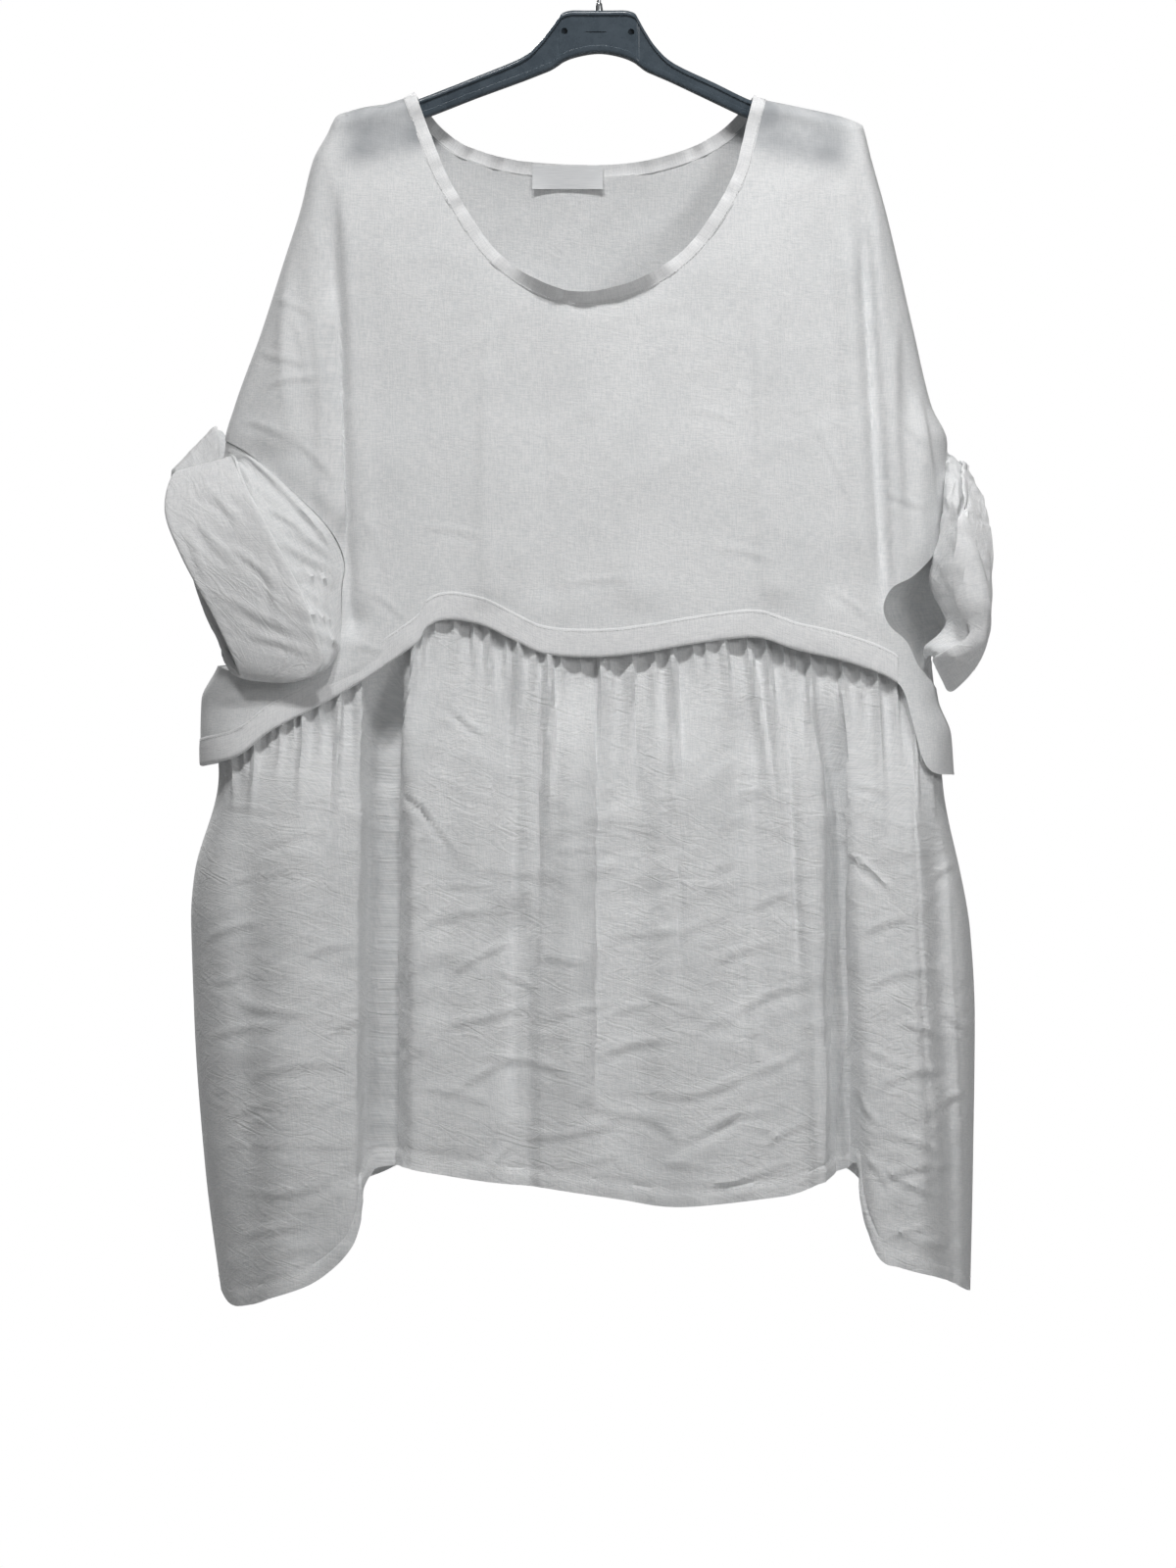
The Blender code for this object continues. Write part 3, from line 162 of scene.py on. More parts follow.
# Seam and edge lines of the bodice, as x, z.
SHOULDER_LEFT = (*SHOULDER[6:1:-1], (-212.9, -161.3))
SHOULDER_RIGHT = ((209.8, -161.3), *SHOULDER[12:8:-1])
ARMHOLE_LEFT_FRONT = (
    (-297.2, -411.6), (-276.1, -424.1), (-240.2, -455.3), (-212.9, -483.4), (-201.2, -508.4),
    (-202.8, -531.8), (-203.6, -563.7), (-209.8, -586.4), (-228.5, -600.4), (-254.3, -604.3),
    (-281.6, -600.4), (-301.9, -591),
)
ARMHOLE_LEFT_BACK = (
    (-301.9, -591), (-275.3, -584.8), (-250.4, -559.8), (-240.2, -524.7), (-242.6, -489.6),
    (-262.1, -450.6), (-297.2, -411.6),
)
ARMHOLE_RIGHT_FRONT = (
    (262.9, -609), (252.7, -591.8), (242.6, -572.3), (229.3, -559.8), (224.6, -545),
    (231.7, -530.2), (245.7, -522.4), (256.6, -513), (266.8, -500.6), (272.2, -485.7),
    (275.3, -450.6), (277.7, -418.7),
)
ARMHOLE_RIGHT_BACK = (
    (277.7, -418.7), (260.5, -466.2), (244.9, -513), (241, -552), (247.3, -587.1), (262.9, -609),
)
NECK_FRONT = (
    (131.8, -141), (126.4, -162), (122.5, -179.2), (116.2, -202.6), (100.6, -233), (80.3, -261.1),
    (60.1, -279), (35.1, -293.9), (7, -302.4), (-15.6, -304.8), (-34.3, -301.7), (-53.8, -293.9),
    (-72.5, -282.2), (-91.3, -265), (-110, -238.5), (-129.5, -204.2), (-144.3, -166.7),
    (-154.4, -139.4),
)
NECK_BACK = (
    (-154.4, -139.4), (-142.7, -155.8), (-128.7, -171.4), (-110, -183.9), (-81.9, -193.2),
    (-53.8, -197.9), (-2.3, -200.3), (35.9, -197.1), (73.3, -187), (100.6, -173), (119.3, -155.8),
    (131.8, -141),
)
HEM_FRONT = (
    (-312.8, -669.8), (-284.7, -662), (-259, -642.5), (-220, -622.2), (-184.1, -601.2),
    (-156.8, -582.5), (-142.7, -572.3), (-134.9, -559.8), (-118.6, -554.4), (-91.3, -559.1),
    (-65.5, -571.5), (-41.3, -581.7), (0, -584), (38.2, -580.1), (69.4, -574.7), (101.4, -570),
    (127.9, -569.2), (156, -578.6), (190.3, -586.4), (222.3, -597.3), (238.7, -609),
    (247.3, -636.3), (255.1, -665.1), (264.4, -676.1), (280.8, -677.6),
)
HEM_BACK = (
    (-312.8, -669.8), (-273.8, -659.7), (-219.2, -633.9), (-164.6, -610.5), (-102.2, -598.8),
    (-39.8, -594.2), (22.6, -592.6), (85, -595.7), (147.4, -605.1), (202, -623.8), (248.8, -657.3),
    (280.8, -677.6),
)

# The skirt's free hems, as x, z.
SKIRT_HEM_FRONT = (
    (-298.7, -1084.8), (-287, -1095.7), (-269.9, -1094.1), (-251.2, -1087.1), (-223.1, -1076.2),
    (-203.6, -1062.2), (-191.1, -1046.6), (-184.9, -1027.8), (-181, -1006), (-170, -990.4),
    (-160.7, -984.2), (-130.3, -989.6), (-81.1, -997.4), (-41.3, -1001.3), (12.5, -1009.9),
    (54.6, -1016.1), (96.7, -1013.8), (138.8, -1009.1), (159.1, -1004.4), (177.1, -995.9),
    (192.7, -988.8), (203.6, -982.6), (206.7, -1008.3), (211.4, -1034.9), (221.5, -1058.3),
    (237.1, -1063.7), (267.5, -1073.1), (294.8, -1087.1),
)
SKIRT_HEM_BACK = (
    (-298.7, -1084.8), (-281.6, -1074.6), (-250.4, -1045), (-211.4, -1013.8), (-175.5, -999.8),
    (-144.3, -987.3), (-71, -981), (7, -984.2), (85, -988.8), (147.4, -988.8), (181, -993.5),
    (202.8, -999.8), (237.1, -1035.6), (268.3, -1070.7), (294.8, -1087.1),
)

# Which point of the hem, counted along its table, each x of the waist seam hangs down to.
# x_seam, hem_point
HANG_FRONT = (
    (-316.7, 0), (-186.4, 8), (-166.1, 9), (-155.2, 10), (172.4, 19), (183.3, 20.4), (197.3, 22.6),
    (282.4, 27),
)
HANG_BACK = ((-316.7, 0), (-172.4, 4.4), (-8.6, 6.8), (163, 10), (282.4, 14))

# Long soft folds of the bodice: x at the top and at the bottom, where it starts and ends, half its
# width, and how far it stands out of the cloth.
# x_top, z_top, x_low, z_low, half_wide, out
BODICE_FRONT_FOLDS = (
    (-216.1, -189.3, -194.2, -552, 9, -9), (-203.6, -177.6, -184.9, -536.4, 9, 3),
    (-242.6, -263.4, -254.3, -403.8, 16, 4), (-82.7, -224.4, -86.6, -527.1, 20, 3),
    (-46, -310.2, -42.9, -527.1, 14, -2.5), (22.6, -318, 30.4, -527.1, 26, 2),
    (127.9, -208.8, 139.6, -527.1, 18, 3), (178.6, -185.4, 186.4, -527.1, 12, -3),
    (205.9, -177.6, 227, -528.6, 8, -7), (216.1, -177.6, 234.8, -528.6, 9, 3),
    (252.7, -372.6, 259.7, -497.4, 8, 5),
)
BODICE_BACK_FOLDS = (
    (-219.2, -189.3, -203.6, -559.8, 12, -8), (-149, -216.6, -156.8, -559.8, 22, 4),
    (-63.2, -240, -55.4, -553.6, 18, -3), (22.6, -232.2, 22.6, -553.6, 26, 4),
    (116.2, -216.6, 124, -559.8, 18, -3), (213.7, -185.4, 217.6, -544.2, 12, -7),
)
# Long folds of the skirt, in the same columns: the two deep valleys, the sharp ridges beside them
# and the rolls between.
SKIRT_FRONT_FOLDS = (
    (-164.6, -567.6, -168.5, -1098, 12, -30), (-149, -583.2, -149, -1098, 14, 7),
    (-186.4, -622.2, -194.2, -1098, 20, 6), (-242.6, -653.4, -242.6, -1098, 30, 6),
    (-277.7, -684.6, -272.2, -1098, 16, -6), (-86.6, -598.8, -110, -1043.4, 22, 5),
    (-57.7, -598.8, -67.1, -1043.4, 16, -5), (-19.5, -598.8, -24.2, -1043.4, 22, 8),
    (22.6, -598.8, 28.9, -1043.4, 22, -5), (73.3, -598.8, 81.1, -1043.4, 24, 8),
    (124, -591, 124, -1043.4, 20, -4), (164.6, -598.8, 174.7, -1043.4, 9, 8),
    (175.5, -606.6, 200.5, -1098, 12, -26), (195.8, -637.8, 220, -1098, 12, 5),
    (244.9, -637.8, 248.8, -1098, 16, 8), (264.4, -684.6, 278.5, -1098, 10, -12),
)
SKIRT_BACK_FOLDS = (
    (-254.3, -653.4, -266, -1098, 14, -16), (-211.4, -637.8, -211.4, -1098, 24, 8),
    (-141.2, -622.2, -149, -1098, 14, -14), (-86.6, -622.2, -90.5, -1098, 24, 8),
    (-28.1, -614.4, -24.2, -1098, 16, -10), (38.2, -614.4, 46, -1098, 26, 9),
    (104.5, -622.2, 116.2, -1098, 14, -14), (163, -630, 174.7, -1098, 24, 8),
    (221.5, -653.4, 237.1, -1098, 14, -16),
)
# Gathers under the back's waist seam: where each stands, how far down it runs and how proud it
# is.
# x, run, proud
GATHERS_BACK = (
    (-289.4, 70, 3), (-264.4, 110, 3.5), (-238.7, 90, 4), (-219.2, 180, 4.5), (-197.3, 120, 4),
    (-178.6, 220, 5), (-157.6, 110, 4), (-135.7, 160, 4.5), (-116.2, 260, 5), (-95.2, 120, 4),
    (-76.4, 180, 4.5), (-54.6, 110, 4), (-35.1, 240, 5), (-13.3, 130, 4), (6.2, 190, 4.5),
    (28.1, 120, 4), (47.6, 280, 5), (69.4, 120, 4), (90.5, 170, 4.5), (110, 120, 4), (131, 240, 5),
    (152.1, 110, 4), (173.2, 190, 4.5), (194.2, 120, 4), (215.3, 150, 4), (236.3, 90, 3.5),
    (259.7, 70, 3),
)
FOLD_STARTS, FOLD_ENDS = 90.0, 25.0
GATHER_HALF, GATHER_PROUD, GATHER_STARTS = 5.2, 2.1, 16.0
SIDE_FADE, TOP_FADE_FROM, TOP_FADE = 22.0, 8.0, 40.0
# How far from its edges the cloth is calm: crumples and creases reach their full height there.
BODICE_CALM, SKIRT_CALM, SKIRT_SEAM_CALM, SKIRT_SIDE_CALM = 14.0, 160.0, 30.0, 18.0
SKIRT_CALM_FROM = 10.0
# How far the skirt hangs behind the bodice's hem: past the seam, more at the sides and more below,
# and how far down it comes forward again.
BEHIND, BEHIND_SIDES, BEHIND_LOW = 1.0, 2.0, 6.5
BEHIND_LOW_OVER, BEHIND_ENDS_FROM, BEHIND_ENDS = 14.0, 6.0, 120.0
BEHIND_CELL_WIDE, BEHIND_CELL_TALL, BEHIND_LEAST, BEHIND_MORE = 45.0, 400.0, 0.3, 1.3

# Sleeve sections, each through eight stations round the tube from the top of the arm, down its
# front, under it and up its back. share is how far along the sleeve the section lies.
SLEEVE_LEFT = (
    (0.52, ((-299.5, -441.3, 2), (-284.7, -430.4, -20), (-269.1, -466.2, -48), (-244.9, -513, -60),
        (-213.7, -588.7, -66), (-255.1, -600.4, -58), (-292.5, -587.9, -24), (-287.8, -520.8, 32),
        (-303.4, -403.8, 20))),
    (1, ((-318.2, -453.8, 4), (-334.6, -438.2, -12), (-341.6, -467.8, -34), (-327.6, -505.2, -52),
        (-301.1, -555.2, -58), (-281.6, -598.1, -54), (-294.8, -581.7, -24), (-319.8, -528.6, 20),
        (-339.3, -438.2, 16))),
)
SLEEVE_RIGHT = (
    (0.14, ((278.5, -424.1, 1), (273.8, -466.2, -22), (268.3, -519.3, 14), (280, -555.2, 20),
        (262.9, -586.4, 14), (261.3, -578.6, 24), (261.3, -520.8, 42), (272.2, -466.2, 30))),
    (0.34, ((283.9, -425.7, 1), (278.5, -467.8, -34), (260.5, -520.8, -26), (275.3, -556.7, -24),
        (259.7, -575.4, -22), (261.3, -578.6, 14), (264.4, -520.8, 41), (275.3, -464.7, 31))),
    (0.52, ((288.6, -428.8, 2), (283.1, -470.9, -44), (290.9, -520.8, -52), (298.7, -567.6, -52),
        (270.7, -581.7, -42), (269.1, -575.4, -4), (275.3, -524, 40), (283.1, -462.3, 32))),
    (1, ((295.6, -441.3, 4), (305.8, -470.9, -28), (309.7, -509.9, -42), (304.2, -575.4, -44),
        (283.1, -606.6, -34), (278.5, -600.4, -10), (303.4, -536.4, 32), (305, -477.2, 28))),
)
# How far the turned-up cuff's free edge stands off the sleeve at each of the stations.
CUFF_LEFT_LIFT = (1.5, 5, 10, 11, 10, 3, 1.5, 4, 2)
CUFF_RIGHT_LIFT = (1, 7, 10, 9, 3, 3, 5, 3)
# Which point of the armhole ring each of the stations starts from, in the solids' own counts.
MARKS_LEFT = (0, 1.3, 3.0, 5.6, 8.8, 12, 15.5, 19.5, 24)
MARKS_RIGHT = (0, 3, 6, 9, 12, 15, 18, 21)

# The hanger's plastic body from tip to tip: x, z_top, z_low, half its thickness.
HANGER = (
    (-205.1, -160.5, -166.7, 3.5), (-202, -155.8, -168.3, 4.5), (-194.2, -151.9, -168.3, 5),
    (-180.2, -148.4, -165.9, 5), (-164.6, -145.3, -162, 5), (-150.5, -142.5, -158.9, 5),
    (-133.4, -136.3, -153.5, 5), (-97.5, -122.3, -139.4, 6), (-61.6, -107.4, -126.2, 6.5),
    (-47.6, -95.7, -120.7, 7), (-38.2, -84, -116.8, 7.5), (-32, -75.5, -112.9, 8),
    (-28.9, -72, -110.6, 8), (-21.8, -70, -107.4, 8), (-10.9, -70, -104.7, 8), (0, -70, -103.5, 8),
    (10.9, -70, -104.7, 8), (21.1, -70, -107.4, 8), (28.1, -72, -110.6, 8),
    (31.2, -76.2, -112.9, 8), (37.4, -87.2, -117.6, 7.5), (46, -99.6, -121.5, 7),
    (60.1, -112.1, -127.7, 6.5), (92.8, -127.7, -143.3, 6), (117.8, -139.8, -155, 5),
    (134.2, -145.3, -159.7, 5), (147.4, -146.8, -162.8, 5), (166.9, -151.1, -166.7, 5),
    (187.2, -155.8, -169.8, 5), (195.8, -159.7, -171.4, 4.5), (198.9, -164.4, -170.6, 3.5),
)
HANGER_EDGE = 2.6
HOOK_WIRE = 1.7
HOOK_INNER = 17.0
# The shank's centre line above the collar, as x, z, and where the crown starts and ends, with its
# step, in degrees.
SHANK = ((0, -54), (0.8, -48), (4.5, -41.5), (10, -36))
CROWN_DEGREES = (-42, 199, 6)
COLLAR_TALL = 6.0
BLOCK_TOP = -70
# The label's sides, top and foot, and its points down and across.
LABEL = (-53, 3.1, -191.7, -210.4)
LABEL_ROWS, LABEL_COLUMNS = 13, 37

# The gathers as they are drawn: the solids' own pleats, each with a sharp edge on the side that
# lean points to and a sway, how far it has wandered by the end of its run.
# x, run, proud, lean, sway
FINE_GATHERS_FRONT = (
    (-306.5, 60, 2, 1, 3), (-295.6, 70, 2.5, -1, 2), (-283.9, 50, 1.8, 1, 3),
    (-272.2, 90, 3, 1, -4), (-261.3, 55, 2, -1, 2), (-250.4, 80, 2.8, 1, -3), (-241, 60, 2, 1, 2),
    (-233.2, 120, 3.4, -1, -4), (-218.4, 100, 3.2, 1, -5), (-202.8, 190, 3.8, 1, -8),
    (-192.7, 80, 2.4, -1, 3), (-184.9, 130, 3.2, 1, -4), (-145.9, 210, 4.2, -1, -10),
    (-138.1, 90, 2.6, 1, -3), (-131, 60, 2.2, -1, 2), (-112.3, 70, 3.4, 1, -1),
    (-99.8, 100, 2.8, -1, 3), (-87.4, 120, 3.6, 1, 4), (-74.1, 80, 2.6, -1, 2),
    (-64, 170, 4.4, -1, -3), (-51.5, 90, 2.8, 1, 3), (-39, 210, 4.6, 1, 3), (-29.6, 80, 3, -1, -3),
    (-14, 70, 2.2, 1, 2), (1.6, 230, 4.4, -1, 2), (9.4, 90, 2.8, 1, 2), (19.5, 60, 2.2, -1, 2),
    (28.9, 130, 3.6, 1, -10), (43.7, 110, 3, 1, 2), (57.7, 240, 4, 1, 9), (73.3, 60, 3, 1, 6),
    (84.2, 70, 2.2, -1, 2), (96.7, 90, 3.8, 1, 10), (114.7, 190, 3.8, 1, 30),
    (130.3, 210, 4.2, 1, 22), (145.1, 90, 2.6, -1, 3), (155.2, 70, 2.4, 1, 2),
    (166.1, 300, 4, -1, 6), (180.2, 60, 2.4, 1, 3), (191.9, 140, 3.4, -1, 2),
    (206.7, 90, 2.8, 1, 3), (220, 180, 3.6, 1, 6), (234, 120, 3, 1, 4), (250.4, 90, 2.4, -1, 3),
    (268.3, 70, 2, 1, 2),
)
FINE_GATHERS_BACK = tuple(
    (x, run * 0.8, proud * 0.8, (1, -1, 1)[k % 3], (3, -4, 2, -2)[k % 4])
    for k, (x, run, proud) in enumerate(GATHERS_BACK)
)
STEEP_SHARE = 0.42
CREASE_FADE, LINE_FADE = 60.0, 0.14
# Hidden sides: how far the mirrored creases are moved along, and how much softer the lines are.
BACK_SHIFT, BACK_LINE_LEAST, BACK_LINE_SHARE = -25.0, 6.0, 0.7
GATHER_MORE, GATHER_MORE_OVER, GATHER_NARROW, GATHER_WIDENS = 0.2, 30.0, 3.4, 110.0
CREASE_MORE, CREASE_NARROW = 1.15, 0.72

# Long fold lines: a ridge (or a trough, below 0) with a steep side, from its top to its low end.
# x_top, z_top, x_low, z_low, wide on the left, wide on the right, high
SKIRT_LINES = (
    (-160.7, -584.8, -163.8, -1023.9, 26, 1.6, -12), (173.2, -606.6, 175.5, -1035.6, 9, 1.8, 3.6),
    (191.9, -606.6, 195, -1043.4, 17, 1.8, -9), (0.8, -584.8, -3.1, -957.6, 2.2, 9, -4),
    (61.6, -591, 61.6, -848.4, 1.8, 8, -3), (-63.2, -591, -67.9, -957.6, 26, 7, -7),
    (-60.1, -762.6, -55.4, -1051.2, 36, 12, -7), (-45.2, -598.8, -48.4, -848.4, 6, 2, -3),
    (119.3, -606.6, 113.9, -887.4, 28, 12, -6), (146.6, -598.8, 156, -840.6, 2, 7, -3.4),
    (26.5, -598.8, 28.9, -700.2, 1.6, 5, -2), (247.3, -684.6, 264.4, -1043.4, 9, 2.2, -1.8),
    (277.7, -747, 290.9, -1043.4, 2, 8, -1.8), (-209, -641.7, -212.9, -731.4, 1.6, 6, -2),
)
BODICE_LINES = (
    (208.3, -240, 224.6, -538, 4.6, 10, -4), (197.3, -240, 211.4, -528.6, 16, 7, 2.6),
    (253.5, -368.7, 270.7, -494.3, 9, 3.6, 2.6), (-191.1, -255.6, -186.4, -528.6, 10, 4, -1.8),
    (-205.1, -185.4, -209.8, -318, 7, 3, -1.2), (-209, -286.8, -203.6, -513, 16, 4.2, 5),
)

# Creases of the washed cloth, listed one by one: from, to, half its width, how high it stands (or
# how deep, below 0) and how far it bows off its straight line.
# x_from, z_from, x_to, z_to, half_wide, high, bow
SKIRT_CREASES = (
    (-16.4, -981, -16.4, -598.8, 18, 5, 3), (-225.4, -1043.4, -225.4, -637.8, 34, 9, 4),
    (-133.4, -934.2, -141.2, -591, 14, 3, 4), (50.7, -981, 44.5, -606.6, 16, 3, -4),
    (124, -918.6, 117.8, -606.6, 6, 2.8, 4), (229.3, -996.6, 220.7, -653.4, 12, 3, 4),
    (50.7, -1001.3, 172.4, -970.1, 3, 1.5, -8), (61.6, -965.4, 120.1, -926.4, 3.2, 1.3, -6),
    (102.2, -954.5, 147.4, -965.4, 3, 1.1, 5), (19.5, -942, 69.4, -971.7, 3.2, 1.2, 6),
    (203.6, -973.2, 229.3, -1008.3, 3.2, 1.6, 4), (213.7, -977.1, 276.1, -1008.3, 3.2, 1.5, -6),
    (200.5, -914.7, 225.4, -957.6, 3.2, 1.3, -4), (217.6, -1045, 264.4, -1031.7, 3, 1.2, 4),
    (-86.6, -993.5, -63.2, -965.4, 3, 1.2, 4), (-167.7, -981, -110, -990.4, 3, 1.2, -3),
    (-159.1, -683.1, -106.9, -747, 2.2, 2.4, 3), (-153.7, -694, -128.7, -723.6, 3, -1.2, 2),
    (-116.2, -622.2, -85.8, -647.2, 2.2, 2, -3), (-127.1, -619.1, -103.7, -639.4, 3, -1, -2),
    (-155.2, -765, -69.4, -767.3, 2.2, 0.9, 1), (-69.4, -753.3, -39.8, -764.2, 2.6, 0.8, 2),
    (-141.2, -797.7, -71, -782.1, 4, 0.9, 4), (-121.7, -842.2, -61.6, -807.9, 3.2, 1.6, 6),
    (-82.7, -828.9, -49.1, -850, 3, 1.3, 3), (-141.2, -873.4, -39.8, -850, 4, 1.4, -6),
    (-110, -899.1, -8.6, -918.6, 4, 1.3, 8), (-55.4, -878.1, 22.6, -856.2, 3.6, 1.3, 5),
    (-152.9, -922.5, -71, -942, 3.6, 1.1, 5), (-71, -959.2, 22.6, -945.9, 3.8, 1.3, -6),
    (-8.6, -904.6, 69.4, -887.4, 4.4, 1.5, 8), (38.2, -928, 124, -906.9, 4.2, 1.6, -8),
    (69.4, -959.2, 147.4, -942, 3.8, 1.3, 6), (99.1, -873.4, 170.8, -842.2, 3.8, 1.6, 8),
    (85, -828.9, 147.4, -809.4, 4, 1.1, 5), (114.7, -787.6, 163, -766.5, 3, 1.2, 3),
    (22.6, -764.2, 102.2, -766.5, 2.6, 0.8, 2), (7, -801.6, 85, -793.8, 4, 1, -4),
    (-39.8, -739.2, 22.6, -736.1, 2.6, 0.7, 2), (124, -974.8, 173.9, -948.3, 3.4, 1.5, 5),
    (-141.2, -969.3, -86.6, -974.8, 2.6, 1, 2), (38.2, -982.6, 100.6, -988.8, 2.8, 1.1, 3),
    (-39.8, -982.6, 22.6, -973.2, 2.8, 1.1, -3), (-125.6, -935.8, -55.4, -899.1, 3.6, 1.3, 6),
    (-8.6, -873.4, 55.4, -856.2, 3.6, 1.1, 4), (104.5, -914.7, 167.7, -887.4, 3.4, 1.4, -5),
    (-51.5, -821.1, -0.8, -832.8, 3.4, 0.9, 4), (22.6, -840.6, 92.8, -857.8, 3.8, 1.1, -5),
    (186.4, -733, 236.3, -775.9, 2.4, 1.9, 3), (195.8, -750.2, 222.3, -772, 3.2, -1, 2),
    (198.1, -809.4, 248.8, -789.9, 3.6, 1.2, 5), (202, -850, 272.2, -828.9, 3.8, 1.4, 6),
    (202, -887.4, 264.4, -906.9, 3.6, 1.3, -6), (208.3, -928, 283.9, -910.8, 3.8, 1.5, 8),
    (209.8, -957.6, 272.2, -977.1, 3.6, 1.2, 5), (213.7, -998.2, 280, -984.9, 3.8, 1.3, 6),
    (221.5, -1027.8, 283.9, -1047.3, 3.6, 1.2, -5), (194.2, -684.6, 233.2, -696.3, 2.8, 0.9, 3),
    (260.5, -762.6, 291.7, -747, 3.4, 1.3, 4), (268.3, -856.2, 297.2, -879.6, 3.4, 1.5, -4),
    (264.4, -942, 295.6, -926.4, 3.4, 1.5, 4), (229.3, -871.8, 276.1, -887.4, 3.6, 1.2, 4),
    (-308.9, -700.2, -250.4, -711.9, 3.4, 0.8, 3), (-301.1, -764.2, -217.6, -752.5, 2.4, 0.9, 2),
    (-316.7, -811, -256.6, -793.8, 3.8, 1.3, 5), (-297.2, -848.4, -217.6, -864, 4.2, 1.3, -6),
    (-314.3, -889, -241, -875.7, 3.8, 1.4, 6), (-281.6, -920.2, -186.4, -906.9, 4.2, 1.3, 8),
    (-308.9, -969.3, -178.6, -970.1, 2.2, 1, 1), (-298.7, -951.4, -233.2, -934.2, 3.6, 1.2, 5),
    (-289.4, -1004.4, -202, -992.7, 3.8, 1.3, -6), (-289.4, -1045, -217.6, -1031.7, 3.6, 1.3, 5),
    (-242.6, -826.6, -178.6, -809.4, 3.6, 1.1, 5), (-227, -943.6, -178.6, -926.4, 3.4, 1.1, 4),
    (-281.6, -740.8, -209.8, -723.6, 3.4, 0.9, 4), (-272.2, -1066.8, -211.4, -1045, 3, 1.1, 4),
    (-311.2, -840.6, -272.2, -828.9, 3.4, 1.3, -4), (-211.4, -879.6, -177.1, -868.7, 3.4, 1.2, 3),
)
BODICE_CREASES = (
    (-186.4, -591, -192.7, -247.8, 10, 2, 4), (-242.6, -427.2, -245.7, -247.8, 8, 2.2, 5),
    (-223.1, -497.4, -225.4, -294.6, 6, 2.4, -5), (241, -497.4, 237.1, -294.6, 7, 2.2, 5),
    (-86.6, -559.8, -82.7, -318, 9, 1.6, 5), (135.7, -559.8, 131.8, -294.6, 9, 1.6, 5),
    (22.6, -559.8, 30.4, -333.6, 10, 1.2, 5), (-272.2, -294.6, -219.2, -318, 3.4, 0.7, 3),
    (-281.6, -335.2, -223.1, -350.8, 3.4, 0.8, -4), (-272.2, -372.6, -214.5, -363.3, 3.4, 0.8, 4),
    (-286.3, -396, -242.6, -413.2, 3, 0.9, 3), (-250.4, -294.6, -228.5, -388.2, 4, 0.7, 5),
    (-242.6, -411.6, -207.5, -450.6, 3.4, 0.9, 4), (-228.5, -241.6, -217.6, -294.6, 3.2, 0.8, 3),
    (-262.1, -318, -242.6, -294.6, 3, 0.7, 2), (-141.2, -310.2, -133.4, -427.2, 5, 0.5, 4),
    (-82.7, -318, -88.1, -466.2, 5, 0.6, -5), (-42.9, -325.8, -39.8, -497.4, 4.4, 0.5, 4),
    (22.6, -335.2, 32, -466.2, 5, 0.5, 5), (117.8, -279, 128.7, -450.6, 5, 0.6, 5),
    (61.6, -388.2, 116.2, -400.7, 3.4, 0.4, 3), (-149, -481.8, -86.6, -491.2, 3.4, 0.5, 3),
    (-39.8, -528.6, 38.2, -524, 3.4, 0.5, 3), (85, -497.4, 147.4, -511.5, 3.4, 0.5, 3),
    (163, -388.2, 198.9, -466.2, 3.6, 0.6, 4), (229.3, -294.6, 248.8, -357, 3.2, 0.8, 3),
    (225.4, -388.2, 266, -427.2, 3, 0.9, 4), (222.3, -450.6, 264.4, -466.2, 3, 0.8, -3),
    (233.2, -333.6, 255.1, -403.8, 3.4, 0.7, 4), (-188, -528.6, -149, -559.8, 3, 0.7, 3),
    (-191.9, -466.2, -164.6, -528.6, 3.6, 0.6, 4), (-195.8, -575.4, -164.6, -584.8, 2.6, 0.8, 2),
    (-308.9, -623.8, -242.6, -606.6, 3.2, 0.9, 3), (-305, -647.2, -272.2, -639.4, 2.6, 0.7, 2),
    (178.6, -528.6, 217.6, -559.8, 3.2, 0.6, 3), (-219.2, -177.6, -202, -263.4, 4, 0.6, 4),
    (209.8, -193.2, 222.3, -279, 4, 0.6, 4),
)
